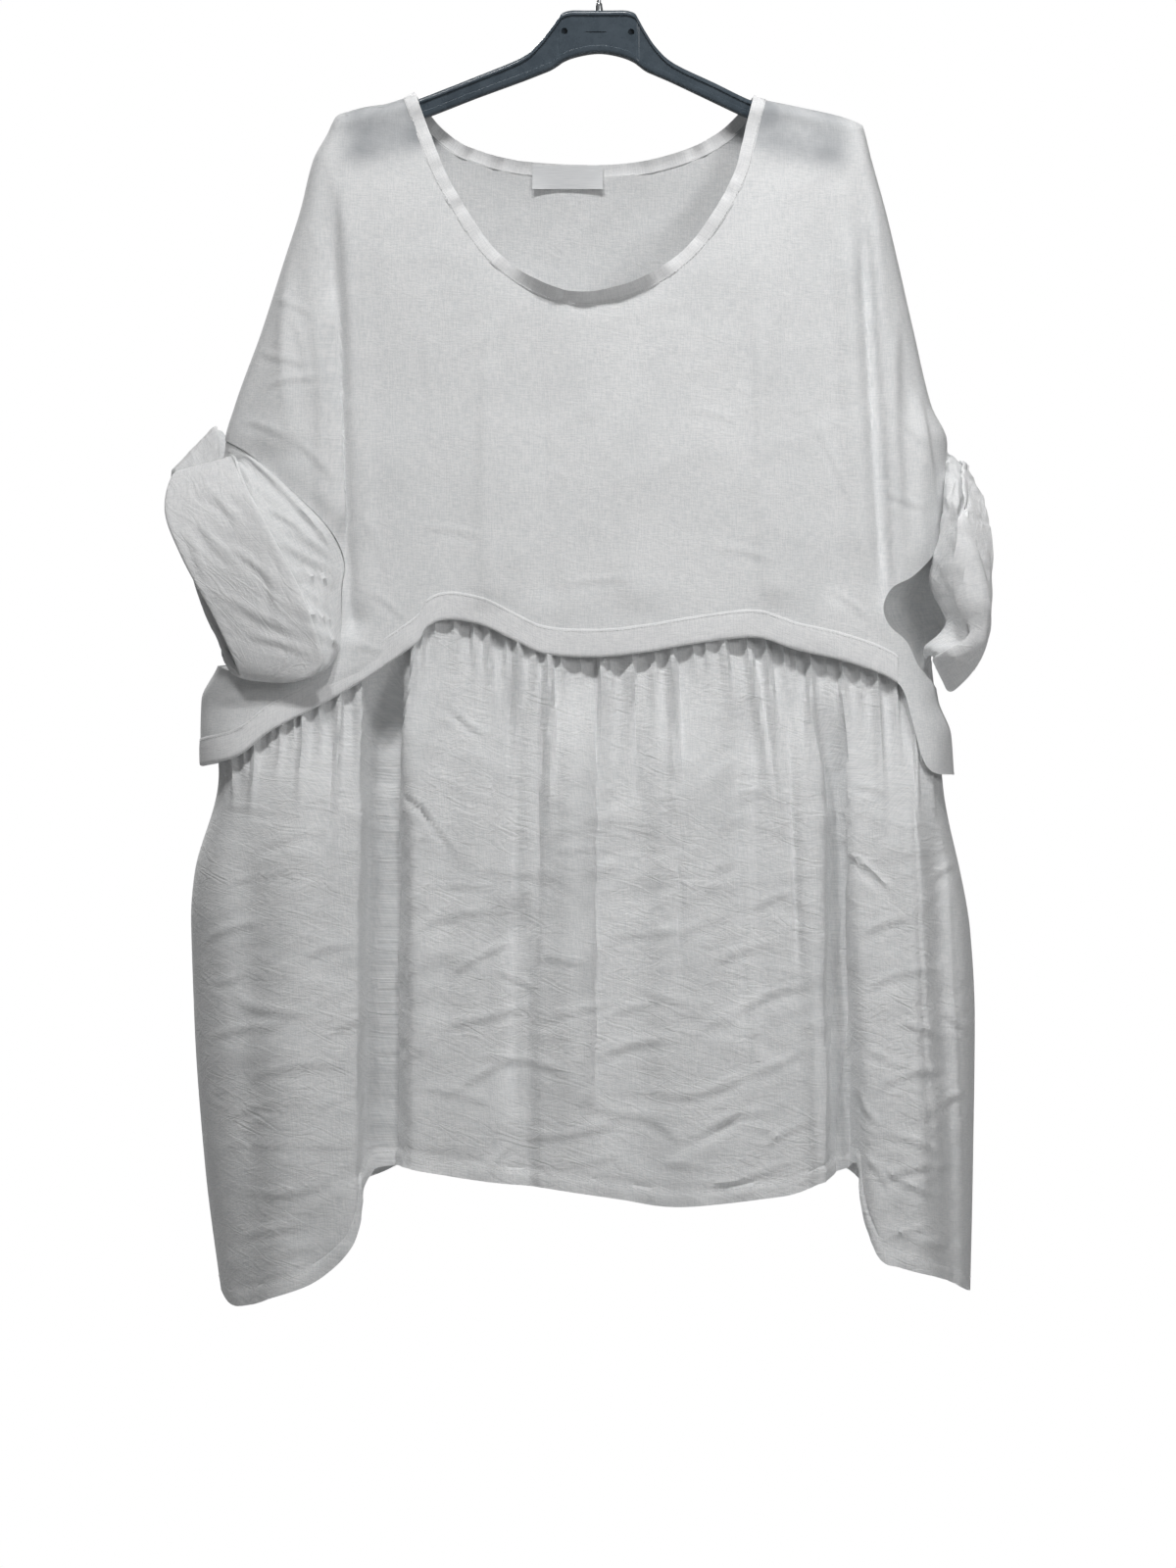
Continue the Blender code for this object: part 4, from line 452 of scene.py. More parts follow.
SLEEVE_CREASES = (
    (290.2, -455.3, 275.3, -485.7, 3.4, -2.6, 2), (281.6, -480.3, 300.3, -566.1, 3, 2.6, 2),
    (273.8, -485.7, 291.7, -559.8, 3.4, -2.2, 2), (268.3, -427.2, 295.6, -433.5, 2.8, 1.8, -2),
    (268.3, -439.7, 303.4, -450.6, 2.8, -1.8, 2), (291.7, -450.6, 309.7, -466.2, 2.6, 1.8, 1),
    (291.7, -478.7, 312.8, -480.3, 2.4, -1.2, 1), (305, -497.4, 311.2, -536.4, 2.8, -1.4, 1),
    (291.7, -509.1, 309.7, -514.6, 2.6, 1.2, 1), (294.1, -538, 309.7, -545.8, 2.6, -1.2, 1),
    (-323.7, -449.1, -275.3, -488.1, 3.4, 1.5, 4), (-316.7, -475.6, -272.2, -520.8, 3.6, 1.4, -4),
    (-300.3, -497.4, -242.6, -538, 3.4, 1.6, 5), (-290.9, -536.4, -230.1, -566.1, 3.6, 1.5, -4),
    (-280, -567.6, -222.3, -584.8, 3, 1.3, 3), (-309.7, -466.2, -261.3, -466.2, 3, 1.2, 3),
    (-272.2, -435, -219.2, -488.1, 3.2, 2.2, 4), (-281.6, -421, -242.6, -450.6, 2.8, 2.2, -3),
    (-245.7, -460, -206.7, -506.8, 2.6, 2.4, 3), (-253.5, -491.2, -202, -519.3, 2.6, 2.2, -3),
    (-248.8, -519.3, -202, -528.6, 2.4, 2.4, 2), (-241, -545.8, -202, -556.7, 2.6, 2.4, -2),
    (-231.7, -567.6, -203.6, -577, 2.4, 2.2, 2), (-267.5, -466.2, -228.5, -491.2, 2.4, 1.8, 3),
    (-250.4, -481.8, -205.1, -513, 3.2, 1.3, 3), (-238.7, -520.8, -203.6, -552, 3, 1.2, -3),
    (-227, -497.4, -217.6, -559.8, 3.6, 1.3, 4), (-289.4, -427.2, -272.2, -460, 3, 1.5, 3),
    (-267.5, -497.4, -253.5, -559.8, 3.6, 1.2, 5), (-328.4, -481.8, -309.7, -528.6, 3, 1.2, 3),
    (270.7, -427.2, 300.3, -460, 3, 1.6, 3), (266, -444.4, 303.4, -481.8, 3, 1.5, -3),
    (276.9, -474, 306.5, -520.8, 3.2, 1.4, 4), (283.9, -497.4, 295.6, -559.8, 3.2, 1.4, 3),
    (261.3, -497.4, 281.6, -544.2, 3, 1.2, 3), (291.7, -528.6, 306.5, -575.4, 3, 1.4, 3),
    (230.1, -536.4, 256.6, -559.8, 2.8, 1.1, 3), (248.8, -528.6, 270.7, -567.6, 3, 1.3, 3),
    (266, -575.4, 303.4, -598.8, 3, 1.2, 3), (278.5, -435, 283.9, -481.8, 2.8, 1.5, -3),
)
# How far the finest crumples, which the mesh is too coarse for, show on each.
BODICE_CRUMPLED, SKIRT_CRUMPLED, SLEEVE_CRUMPLED = 0.25, 0.9, 0.9
# Seeds of the crumples and puckers, the sleeves' right and then left.
BODICE_SEEDS, SKIRT_SEEDS, SLEEVE_SEEDS = {FRONT: 3, BACK: 4}, {FRONT: 5, BACK: 6}, (12, 11)
BEHIND_SEED, BINDING_SEED, HEM_SEED, STITCH_SEED = 9, 21, 31, 4
# Crumples that washing leaves all over: their size across and down the cloth, and their height.
# across, down, high, turned by degrees
SKIRT_CRUMPLES = ((85, 36, 1.1, 12), (44, 15, 0.8, -22), (26, 9, 0.8, 26))
BODICE_CRUMPLES = ((110, 60, 1.4, -70), (44, 20, 0.4, 30), (18, 9, 0.16, -20))
SLEEVE_CRUMPLES = ((44, 24, 1.6, -35), (24, 12, 1, 20), (12, 6, 0.4, -15))


def hermite(table, at):
    """Monotone cubic through the rows (key, value...) of a table, one column per value."""
    rows = np.array(sorted(table), float)
    key = rows[:, 0]
    at = np.clip(np.asarray(at, float), key[0], key[-1])
    k = np.clip(np.searchsorted(key, at, side="right") - 1, 0, len(key) - 2)
    step = np.diff(key)
    h = step[k]
    t = (at - key[k]) / h
    out = []
    for column in rows[:, 1:].T:
        slope = np.diff(column) / step
        tangent = np.zeros(len(key))
        same = slope[:-1] * slope[1:] > 0
        tangent[1:-1][same] = (2 * slope[:-1] * slope[1:] / (slope[:-1] + slope[1:] + 1e-12))[same]
        tangent[0], tangent[-1] = slope[0], slope[-1]
        out.append(
            column[k] * (1 + 2 * t) * (1 - t) ** 2
            + column[k + 1] * t * t * (3 - 2 * t)
            + h * tangent[k] * t * (1 - t) ** 2
            + h * tangent[k + 1] * t * t * (t - 1)
        )
    return out


def rounded(t):
    """0 to 1 as a quarter circle: the cloth turning over an edge."""
    t = np.clip(t, 0.0, 1.0)
    return np.sqrt(np.maximum(0.0, 1.0 - (1.0 - t) ** 2))


def smooth(t):
    """0 to 1, easing in and out."""
    t = np.clip(t, 0.0, 1.0)
    return t * t * (3.0 - 2.0 * t)


def long_folds(x, z, folds):
    """Sum of the long folds, each a bell across a straight line that fades in and out."""
    out = np.zeros(np.broadcast(x, z).shape)
    for x_top, z_top, x_low, z_low, half, proud in folds:
        down = np.clip((z_top - z) / (z_top - z_low), 0.0, 1.0)
        centre = x_top + (x_low - x_top) * down
        fade = smooth((z_top - z) / FOLD_STARTS) * smooth((z - z_low) / FOLD_ENDS + 1.0)
        out = out + proud * fade * np.exp(-(((x - centre) / half) ** 2))
    return out


def stand_off(x, z, side):
    """How far the plain cloth stands off the plane of the seams at x, z."""
    left, right, fold_left, fold_right, front, back = hermite(BODY, z)
    shoulder = np.interp(x, *np.array(SHOULDER).T)
    deep = front if side == FRONT else back
    across = rounded((x - left) / (fold_left - left)) * rounded((right - x) / (right - fold_right))
    return deep * across * rounded((shoulder - z) / SHOULDER_ROUND)


def edge_fade(x, z):
    """0 on the side seams, 1 a little way in, so that folds die out at the seams."""
    left, right = hermite(BODY, z)[:2]
    shoulder = np.interp(x, *np.array(SHOULDER).T)
    return (smooth((x - left) / SIDE_FADE) * smooth((right - x) / SIDE_FADE)
            * smooth((shoulder - z - TOP_FADE_FROM) / TOP_FADE))


def bodice(x, z, side):
    """y of the bodice's middle surface."""
    folds = BODICE_FRONT_FOLDS if side == FRONT else BODICE_BACK_FOLDS
    off = stand_off(x, z, side) + long_folds(x, z, folds) * edge_fade(x, z)
    return side * np.maximum(off, SEAM_GAP / 2)


def between(p0, p1, p2, p3, t):
    """The smooth curve from p1 to p2, at t from 0 to 1."""
    return 0.5 * (2 * p1 + (p2 - p0) * t + (2 * p0 - 5 * p1 + 4 * p2 - p3) * t**2
                  + (3 * p1 - p0 - 3 * p2 + p3) * t**3)


def catmull(points, at):
    """The smooth curve through the points at fractional places along their list."""
    points = np.array(points, float)
    at = np.clip(np.asarray(at, float), 0.0, len(points) - 1.0)
    k = np.minimum(at.astype(int), len(points) - 2)
    last = len(points) - 1
    p1, p2 = points[k], points[k + 1]
    p0 = np.where((k > 0)[:, None], points[np.maximum(k - 1, 0)], 2 * p1 - p2)
    p3 = np.where((k + 2 <= last)[:, None], points[np.minimum(k + 2, last)], 2 * p2 - p1)
    return between(p0, p1, p2, p3, (at - k)[:, None])


def curved(line, each=16):
    """A close polyline of the smooth curve through a short line."""
    return catmull(line, np.linspace(0.0, len(line) - 1.0, (len(line) - 1) * each + 1))


def run_of(steps):
    """How far along a line each of its points lies, from the lengths of its steps."""
    return np.concatenate([[0], np.cumsum(steps)])


def along(points, count):
    """count points at even steps along a polyline, its two ends kept."""
    points = np.array(points, float)
    run = run_of(np.linalg.norm(np.diff(points, axis=0), axis=1))
    at = np.linspace(0, run[-1], count)
    return np.stack([np.interp(at, run, column) for column in points.T], axis=1)


def along_cloth(line, count, side, turn_ends=False):
    """count points at even steps along a line drawn on the cloth, measured on the cloth itself."""
    flat = along(line, LINE_STEPS)
    y = bodice(flat[:, 0], flat[:, 1], side)
    y[0] = y[-1] = 0.0
    step = np.linalg.norm(np.diff(np.stack([flat[:, 0], y, flat[:, 1]], axis=1), axis=0), axis=1)
    run = run_of(step)
    at = np.linspace(0, run[-1], count)
    if turn_ends:
        ends = np.array(TURN_OVER)
        at = np.unique(np.concatenate([at, ends, run[-1] - ends]))
    return np.stack([np.interp(at, run, column) for column in flat.T], axis=1)


def inside(polygon, points):
    """Which of the points lie inside the polygon."""
    x, y = points[:, 0], points[:, 1]
    odd = np.zeros(len(points), bool)
    for (x0, y0), (x1, y1) in zip(polygon, np.roll(polygon, -1, axis=0)):
        crosses = (y0 > y) != (y1 > y)
        with np.errstate(divide="ignore", invalid="ignore"):
            odd ^= crosses & (x < (x1 - x0) * (y - y0) / (y1 - y0) + x0)
    return odd


def edge_distance(polygon, points):
    """How far each of the points lies from the polygon's edge."""
    best = np.full(len(points), 1e9)
    for a, b in zip(polygon, np.roll(polygon, -1, axis=0)):
        span = b - a
        t = np.clip(((points - a) @ span) / max(span @ span, 1e-9), 0, 1)
        best = np.minimum(best, np.linalg.norm(points - a - t[:, None] * span, axis=1))
    return best


def unit(vectors):
    """The vectors at length 1."""
    return vectors / np.maximum(np.linalg.norm(vectors, axis=1, keepdims=True), 1e-12)


def surface_normals(points, faces):
    """Normals at the points, from an array of triangles or of quads."""
    corners = points[faces]
    across = corners[:, 2] - corners[:, 0]
    other = corners[:, -1] - corners[:, 1]
    normal = np.cross(across, other) if faces.shape[1] == 4 else np.cross(
        corners[:, 1] - corners[:, 0], across)
    total = np.zeros_like(points)
    for k in range(faces.shape[1]):
        np.add.at(total, faces[:, k], normal)
    return unit(total)


def seam_normals(points, normals, lines):
    """Normals square to the side and shoulder seams and in their plane, where two panels butt."""
    normals = normals.copy()
    for line in lines:
        tangent = np.gradient(points[line], axis=0)
        outward = np.stack([tangent[:, 2], np.zeros(len(line)), -tangent[:, 0]], axis=1)
        normals[line] = unit(outward)
    return normals


def grid_faces(rows, columns, closed=False, turned=False):
    """Quads over rows of points, as an array, facing the other way where they are turned."""
    i, j = np.meshgrid(np.arange(rows - 1), np.arange(columns if closed else columns - 1),
                       indexing="ij")
    near, far, k = i * columns, (i + 1) * columns, (j + 1) % columns
    faces = np.stack([near + j, near + k, far + k, far + j], axis=-1).reshape(-1, 4)
    return faces[:, ::-1] if turned else faces


def value_noise(u, v, seed, soft=1.0):
    """Noise from 0 to 1 over a plane whose cells are 1 across, the same on every run.

    soft is 1 where it runs smoothly from cell to cell, and 0 where it is creased between them.
    """
    cells = np.random.default_rng(seed).random((64, 64))
    i, j = np.floor(u).astype(int), np.floor(v).astype(int)
    a, b = ((1.0 - soft) * t + soft * smooth(t) for t in (u - i, v - j))
    low = cells[i % 64, j % 64] * (1 - a) + cells[(i + 1) % 64, j % 64] * a
    high = cells[i % 64, (j + 1) % 64] * (1 - a) + cells[(i + 1) % 64, (j + 1) % 64] * a
    return low * (1 - b) + high * b


def crumples(u, v, rows, seed):
    """Uneven washed-in crumples, in patches: flat facets that meet in sharp little ridges."""
    out = np.zeros(np.shape(u))
    for k, (across, down, high, degrees) in enumerate(rows):
        patch = 0.3 + 1.4 * value_noise(u / across / 2.2, v / across / 2.2, seed + 10 * k)
        turn = math.radians(degrees)
        a = (u * math.cos(turn) + v * math.sin(turn)) / across
        b = (v * math.cos(turn) - u * math.sin(turn)) / down
        a, b = (a + 0.9 * (value_noise(a / 1.3, b / 1.7, seed + 10 * k + 3) - 0.5),
                b + 1.3 * (value_noise(a / 1.1, b / 2.3, seed + 10 * k + 1) - 0.5))
        facets = value_noise(a + 7.3 * k, b, seed + 10 * k + 2, 0.25)
        ridge = 1.0 - np.abs(2.0 * value_noise(a / 1.4, b / 1.4 + 3.1, seed + 10 * k + 4) - 1.0)
        out = out + high * patch * (1.3 * (facets - 0.5) + 0.6 * (ridge**3 - 0.3))
    return out


def creases(x, z, rows):
    """Height of the listed creases: each a ridge with a hollow along one side of it."""
    out = np.zeros(np.shape(x))
    for x_from, z_from, x_to, z_to, half, high, bow in rows:
        length = math.hypot(x_to - x_from, z_to - z_from)
        ux, uz = (x_to - x_from) / length, (z_to - z_from) / length
        part = ((x - x_from) * ux + (z - z_from) * uz) / length
        off = (z - z_from) * ux - (x - x_from) * uz - bow * (1.0 - (2.0 * part - 1.0) ** 2)
        near = (part > 0) & (part < 1) & (np.abs(off) < 6.0 * half)
        ends = min(0.35, CREASE_FADE / length)
        fade = smooth(part[near] / ends) * smooth((1.0 - part[near]) / ends)
        u = off[near] / half / CREASE_NARROW
        ridge = np.exp(-u**2) - 0.45 * np.exp(-((u + 2.0) / 1.6) ** 2)
        out[near] += CREASE_MORE * high * fade * ridge
    return out


def fold_lines(x, z, rows):
    """Height of the long fold lines, each sharp along the line and easing off to either side."""
    out = np.zeros(np.broadcast(x, z).shape)
    for x_top, z_top, x_low, z_low, left, right, high in rows:
        down = (z_top - z) / (z_top - z_low)
        off = x - x_top - (x_low - x_top) * down
        fade = smooth(down / LINE_FADE) * smooth((1.0 - down) / LINE_FADE)
        part = np.clip(1.0 - np.abs(off) / np.where(off < 0, left, right), 0.0, 1.0)
        out = out + high * fade * (0.5 * part + 0.5 * smooth(part))
    return out


def pleats(x, drop, rows):
    """The gathers under the waist seam, each steep on one side."""
    out = np.zeros(np.broadcast(x, drop).shape)
    for centre, run, proud, lean, sway in rows:
        fade = smooth(drop / GATHER_STARTS) * (1.0 - smooth(drop / run))
        half = GATHER_NARROW + (GATHER_HALF - GATHER_NARROW) * smooth(drop / GATHER_WIDENS)
        u = (x - centre - sway * np.clip(drop / run, 0.0, 1.0)) / half * lean
        u = np.where(u > 0, u / STEEP_SHARE, u)
        out = out + GATHER_PROUD * proud * fade * np.exp(-(u**2))
    return out * (1.0 + GATHER_MORE * smooth((drop - SEAM_ABOVE_HEM) / GATHER_MORE_OVER))


def mirrored(rows):
    """The same creases seen from behind: turned left for right and moved along."""
    return tuple((BACK_SHIFT - x0, z0, BACK_SHIFT - x1, z1, half, high, -bow)
                 for x0, z0, x1, z1, half, high, bow in rows)


def turned_lines(rows):
    """The same fold lines seen from behind, softer."""
    return tuple((BACK_SHIFT - x0, z0, BACK_SHIFT - x1, z1, max(right, BACK_LINE_LEAST),
                  max(left, BACK_LINE_LEAST), high * BACK_LINE_SHARE)
                 for x0, z0, x1, z1, left, right, high in rows)


def by_hand(x, z, side, crease_rows, line_rows):
    """Heights of a panel's listed creases and of its fold lines."""
    if side == BACK:
        crease_rows, line_rows = mirrored(crease_rows), turned_lines(line_rows)
    return creases(x, z, crease_rows), fold_lines(x, z, line_rows)


def on_outline(z, column):
    """The point of the side outline at this height: column 0 is left, 1 right."""
    return (float(hermite(BODY, z)[column]), z)


def outline_run(z_from, z_to, column, count):
    """count points down or up the side outline."""
    return np.array([on_outline(z, column) for z in np.linspace(z_from, z_to, count)])


def pinned(line, first, last):
    """The line with its two ends put elsewhere."""
    return [first, *line[1:-1], last]


def finer(count):
    """How many points an edge has here, from its count in the solids."""
    return (count - 1) * HOLE_RATIO + 1


def bodice_edges(side):
    """The panel's edge lines in order, each as a name and even points, anticlockwise from below."""
    front = side == FRONT
    hem = HEM_FRONT if front else HEM_BACK
    right_hole = ARMHOLE_RIGHT_FRONT if front else ARMHOLE_RIGHT_BACK[::-1]
    left_hole = ARMHOLE_LEFT_FRONT if front else ARMHOLE_LEFT_BACK[::-1]
    neck = NECK_FRONT if front else NECK_BACK[::-1]
    hem_left, hem_right = on_outline(hem[0][1], 0), on_outline(hem[-1][1], 1)
    under_right, over_right = on_outline(right_hole[0][1], 1), on_outline(right_hole[-1][1], 1)
    over_left, under_left = on_outline(left_hole[0][1], 0), on_outline(left_hole[-1][1], 0)
    tip_left, tip_right = SHOULDER_LEFT[-1], SHOULDER_RIGHT[0]
    left_count = HOLE_LEFT_FRONT_COUNT if front else HOLE_COUNT
    return (
        ("hem", along_cloth(curved(pinned(hem, hem_left, hem_right)), HEM_POINTS, side)),
        ("side_right", outline_run(hem_right[1], under_right[1], 1, finer(SIDE_COUNT))),
        ("hole_right", along(curved(pinned(right_hole, under_right, over_right)),
                             finer(HOLE_COUNT))),
        ("arm_right", outline_run(over_right[1], tip_right[1], 1, finer(ARM_COUNT))),
        ("shoulder_right", along(curved(SHOULDER_RIGHT), finer(SHOULDER_COUNT))),
        ("neck", along_cloth(curved(neck), NECK_POINTS, side, turn_ends=True)),
        ("shoulder_left", along(curved(SHOULDER_LEFT), finer(SHOULDER_COUNT))),
        ("arm_left", outline_run(tip_left[1], over_left[1], 0, finer(ARM_COUNT))),
        ("hole_left", along(curved(pinned(left_hole, over_left, under_left)),
                            finer(left_count))),
        ("side_left", outline_run(under_left[1], hem_left[1], 0, finer(SIDE_COUNT))),
    )


def cloth_lattice(side, z_top, z_low, step):
    """Points spread evenly over the cloth of the bodice, every other row half a step on."""
    found = []
    for k, z in enumerate(np.arange(z_top, z_low, -step * LATTICE_ROW)):
        left, right = (float(v) for v in hermite(BODY, z)[:2])
        x = np.linspace(left, right, LATTICE_STEPS)
        y = bodice(x, np.full_like(x, z), side)
        run = run_of(np.hypot(np.diff(x), np.diff(y)))
        at = np.arange((k % 2) * step / 2 + LATTICE_START, run[-1], step)
        found.append(np.stack([np.interp(at, run, x), np.full(len(at), z)], axis=1))
    return np.concatenate(found)


@lru_cache(maxsize=None)
def bodice_panel(side):
    """Points, triangles, normals, edge indices and cloth coordinates of a bodice panel."""
    outline, index = [], {}
    for name, line in bodice_edges(side):
        index[name] = list(range(len(outline), len(outline) + len(line)))
        outline.extend(line[:-1])
    outline = np.array(outline)
    index["side_left"][-1] = 0
    step = STEP_FRONT if side == FRONT else STEP_BACK
    inner = cloth_lattice(side, outline[:, 1].max(), outline[:, 1].min(), step)
    inner = inner[inside(outline, inner)]
    inner = inner[edge_distance(outline, inner) > 0.5 * step]
    flat = np.concatenate([outline, inner])
    flat_out, _, faces, origin = delaunay_2d_cdt(
        [tuple(p) for p in flat], [], [list(range(len(outline)))], 1, 1e-5, True)[:4]
    flat_out = np.array([tuple(p) for p in flat_out])
    faces = np.array(faces)
    faces = faces[inside(outline, flat_out[faces].mean(axis=1))]
    order = {old: new for new, olds in enumerate(origin) for old in olds}
    index = {name: [order[i] for i in line] for name, line in index.items()}
    x, z = flat_out.T
    points = np.stack([x, bodice(x, z, side), z], axis=1)
    seams = [index[name] for name in ("side_right", "arm_right", "shoulder_right",
                                      "shoulder_left", "arm_left", "side_left")]
    on_seam = sum(seams, [])
    points[on_seam, 1] = side * SEAM_GAP / 2
    if side == BACK:
        faces = faces[:, ::-1]
    normals = seam_normals(points, surface_normals(points, faces), seams)
    edge = smooth(edge_distance(outline, flat_out) / BODICE_CALM)
    deep = hermite(BODY, z)[4 if side == FRONT else 5]
    cloth = np.stack([x + np.sign(x) * (deep - np.abs(points[:, 1])), z], axis=1)
    creased, lined = by_hand(x, z, side, BODICE_CREASES, BODICE_LINES)
    high = creased + crumples(*cloth.T, BODICE_CRUMPLES, BODICE_SEEDS[side]) + lined
    points = points + normals * (high * edge)[:, None]
    normals = seam_normals(points, surface_normals(points, faces), seams)
    return points, faces, normals, index, cloth


def joined_ring(front_line, back_line):
    """One closed ring from two edge lines that share their ends, the shared ends averaged."""
    ring = np.concatenate([front_line[:-1], back_line[:-1]])
    ring[0] = (front_line[0] + back_line[-1]) / 2
    ring[len(front_line) - 1] = (front_line[-1] + back_line[0]) / 2
    return ring


def ring_between(front_panel, back_panel, line, front_turned, back_turned):
    """The closed ring of an armhole or the neck, from the two panels' edge points."""
    rings = []
    for part in (0, 2):
        front = front_panel[part][front_panel[3][line]]
        back = back_panel[part][back_panel[3][line]]
        front = front[::-1] if front_turned else front
        back = back[::-1] if back_turned else back
        rings.append(joined_ring(front, back))
    return rings[0], unit(rings[1])


def into_opening(ring, normals, distance):
    """The ring carried off the panels' edge towards the middle of the opening, along the cloth."""
    tangent = np.roll(ring, -1, axis=0) - np.roll(ring, 1, axis=0)
    inward = unit(np.cross(tangent, normals))
    if np.sum(inward * (ring.mean(axis=0) - ring)) < 0:
        inward = -inward
    return ring + inward * distance


def round_stations(stations, marks, count):
    """count points round a closed smooth curve through the stations, each at its mark."""
    stations = np.array(stations, float)
    total = len(stations)
    at = np.interp(np.arange(count), (*marks, count), np.arange(total + 1))
    k = at.astype(int)
    return between(*(stations[(k + step) % total] for step in (-1, 0, 1, 2)), (at - k)[:, None])


def sleeve_rows(ring, sections, marks, shares, dive):
    """Rows of the sleeve's middle surface at these shares of its length.

    dive is how much faster than across the front the cloth turns inwards from its seam.
    """
    shares_at = [0.0] + [share for share, _ in sections]
    stack = [ring] + [round_stations([(x, y, z) for (x, z, y) in stations], marks, len(ring))
                      for _, stations in sections]
    rows = []
    for share in shares:
        k = max(i for i in range(len(stack) - 1) if shares_at[i] <= share + 1e-9)
        t = (share - shares_at[k]) / (shares_at[k + 1] - shares_at[k])
        deep = t ** (1.0 / dive) if k == 0 else t
        flat = t**dive if k == 0 else t
        mix = np.array((flat, deep, flat))
        rows.append(stack[k] * (1 - mix) + stack[k + 1] * mix)
    return rows


@lru_cache(maxsize=None)
def skirt_panel(side):
    """Points, quads, normals, cloth coordinates and grid size of a skirt panel."""
    front = side == FRONT
    hem_line = dict(bodice_edges(side))["hem"]
    free_hem = SKIRT_HEM_FRONT if front else SKIRT_HEM_BACK
    hang = np.array(HANG_FRONT if front else HANG_BACK)
    count, row_count = (SKIRT_COLUMNS_FRONT, SKIRT_ROWS_FRONT) if front else (
        SKIRT_COLUMNS_BACK, SKIRT_ROWS_BACK)
    x_top, z_top = along_cloth(hem_line, count, side).T
    z_top = z_top + SEAM_ABOVE_HEM
    x_low, z_low = catmull(free_hem, np.interp(x_top, *hang.T)).T
    rows = []
    for v in np.linspace(0.0, 1.0, row_count) ** SKIRT_CROWDING:
        x, z = x_top + (x_low - x_top) * v, z_top + (z_low - z_top) * v
        left, right = on_outline(z[0], 0)[0], on_outline(z[-1], 1)[0]
        x = left + (x - x[0]) * (right - left) / (x[-1] - x[0])
        rows.append((x, z, z_top - z))
    x, z, drop = (np.stack(column) for column in zip(*rows))
    bodice_folds, skirt_folds, tucks = (
        (BODICE_FRONT_FOLDS, SKIRT_FRONT_FOLDS, FINE_GATHERS_FRONT) if front
        else (BODICE_BACK_FOLDS, SKIRT_BACK_FOLDS, FINE_GATHERS_BACK)
    )
    fade = edge_fade(x, z)
    off = stand_off(x, z, side)
    off += (long_folds(x, z, bodice_folds) + long_folds(x, z, skirt_folds)) * fade
    y = side * np.maximum(off, SEAM_GAP / 2)
    y[:, 0] = y[:, -1] = side * SEAM_GAP / 2
    points = np.stack([x, y, z], axis=-1).reshape(-1, 3)
    faces = grid_faces(row_count, count, turned=front)
    down_left = [i * count for i in range(row_count)]
    up_right = [(i + 1) * count - 1 for i in reversed(range(row_count))]
    normals = seam_normals(points, surface_normals(points, faces), (down_left, up_right))
    behind = CLOTH + SEAM_GAP + BEHIND + BEHIND_SIDES * (1.0 - fade)
    sway = value_noise(x / BEHIND_CELL_WIDE, drop / BEHIND_CELL_TALL, BEHIND_SEED)
    behind += BEHIND_LOW * smooth(drop / BEHIND_LOW_OVER) * (BEHIND_LEAST + BEHIND_MORE * sway)
    behind *= 1.0 - smooth((drop - SEAM_ABOVE_HEM - BEHIND_ENDS_FROM) / BEHIND_ENDS)
    step = np.hypot(np.diff(x, axis=1), np.diff(y, axis=1))
    run = np.concatenate([np.zeros((row_count, 1)), np.cumsum(step, axis=1)], axis=1)
    across = run - run[:, count // 2:count // 2 + 1]
    cloth = np.stack([across, z], axis=-1).reshape(-1, 2)
    creased, lined = by_hand(x, z, side, SKIRT_CREASES, SKIRT_LINES)
    high = creased + crumples(across, z, SKIRT_CRUMPLES, SKIRT_SEEDS[side]) * smooth(
        drop / SKIRT_CALM)
    above = z - z[-1]
    hem_turn = HEM_TURN_PROUD * smooth((HEM_TURN_TALL - above) / HEM_TURN_SOFT)
    hem_turn *= HEM_PUCKER_LEAST + HEM_PUCKER_MORE * value_noise(
        across / HEM_PUCKER_ACROSS, above / HEM_PUCKER_DOWN, HEM_SEED)
    hem_turn -= HEM_TURN_GROOVE * np.clip(
        1.0 - np.abs(above - HEM_TURN_TALL - 1.0) / HEM_GROOVE_HALF, 0, 1)
    calm = smooth((drop - SKIRT_CALM_FROM) / SKIRT_SEAM_CALM) * smooth(
        (x - x[:, :1]) / SKIRT_SIDE_CALM) * smooth((x[:, -1:] - x) / SKIRT_SIDE_CALM)
    moved = (pleats(x, drop, tucks) + lined) * fade - behind
    moved += high * calm + hem_turn * fade
    points = points + normals * moved.reshape(-1, 1)
    points[down_left + up_right, 1] = -side * SIDES_OVERLAP
    normals = seam_normals(points, surface_normals(points, faces), (down_left, up_right))
    return points, faces, normals, cloth, (row_count, count)


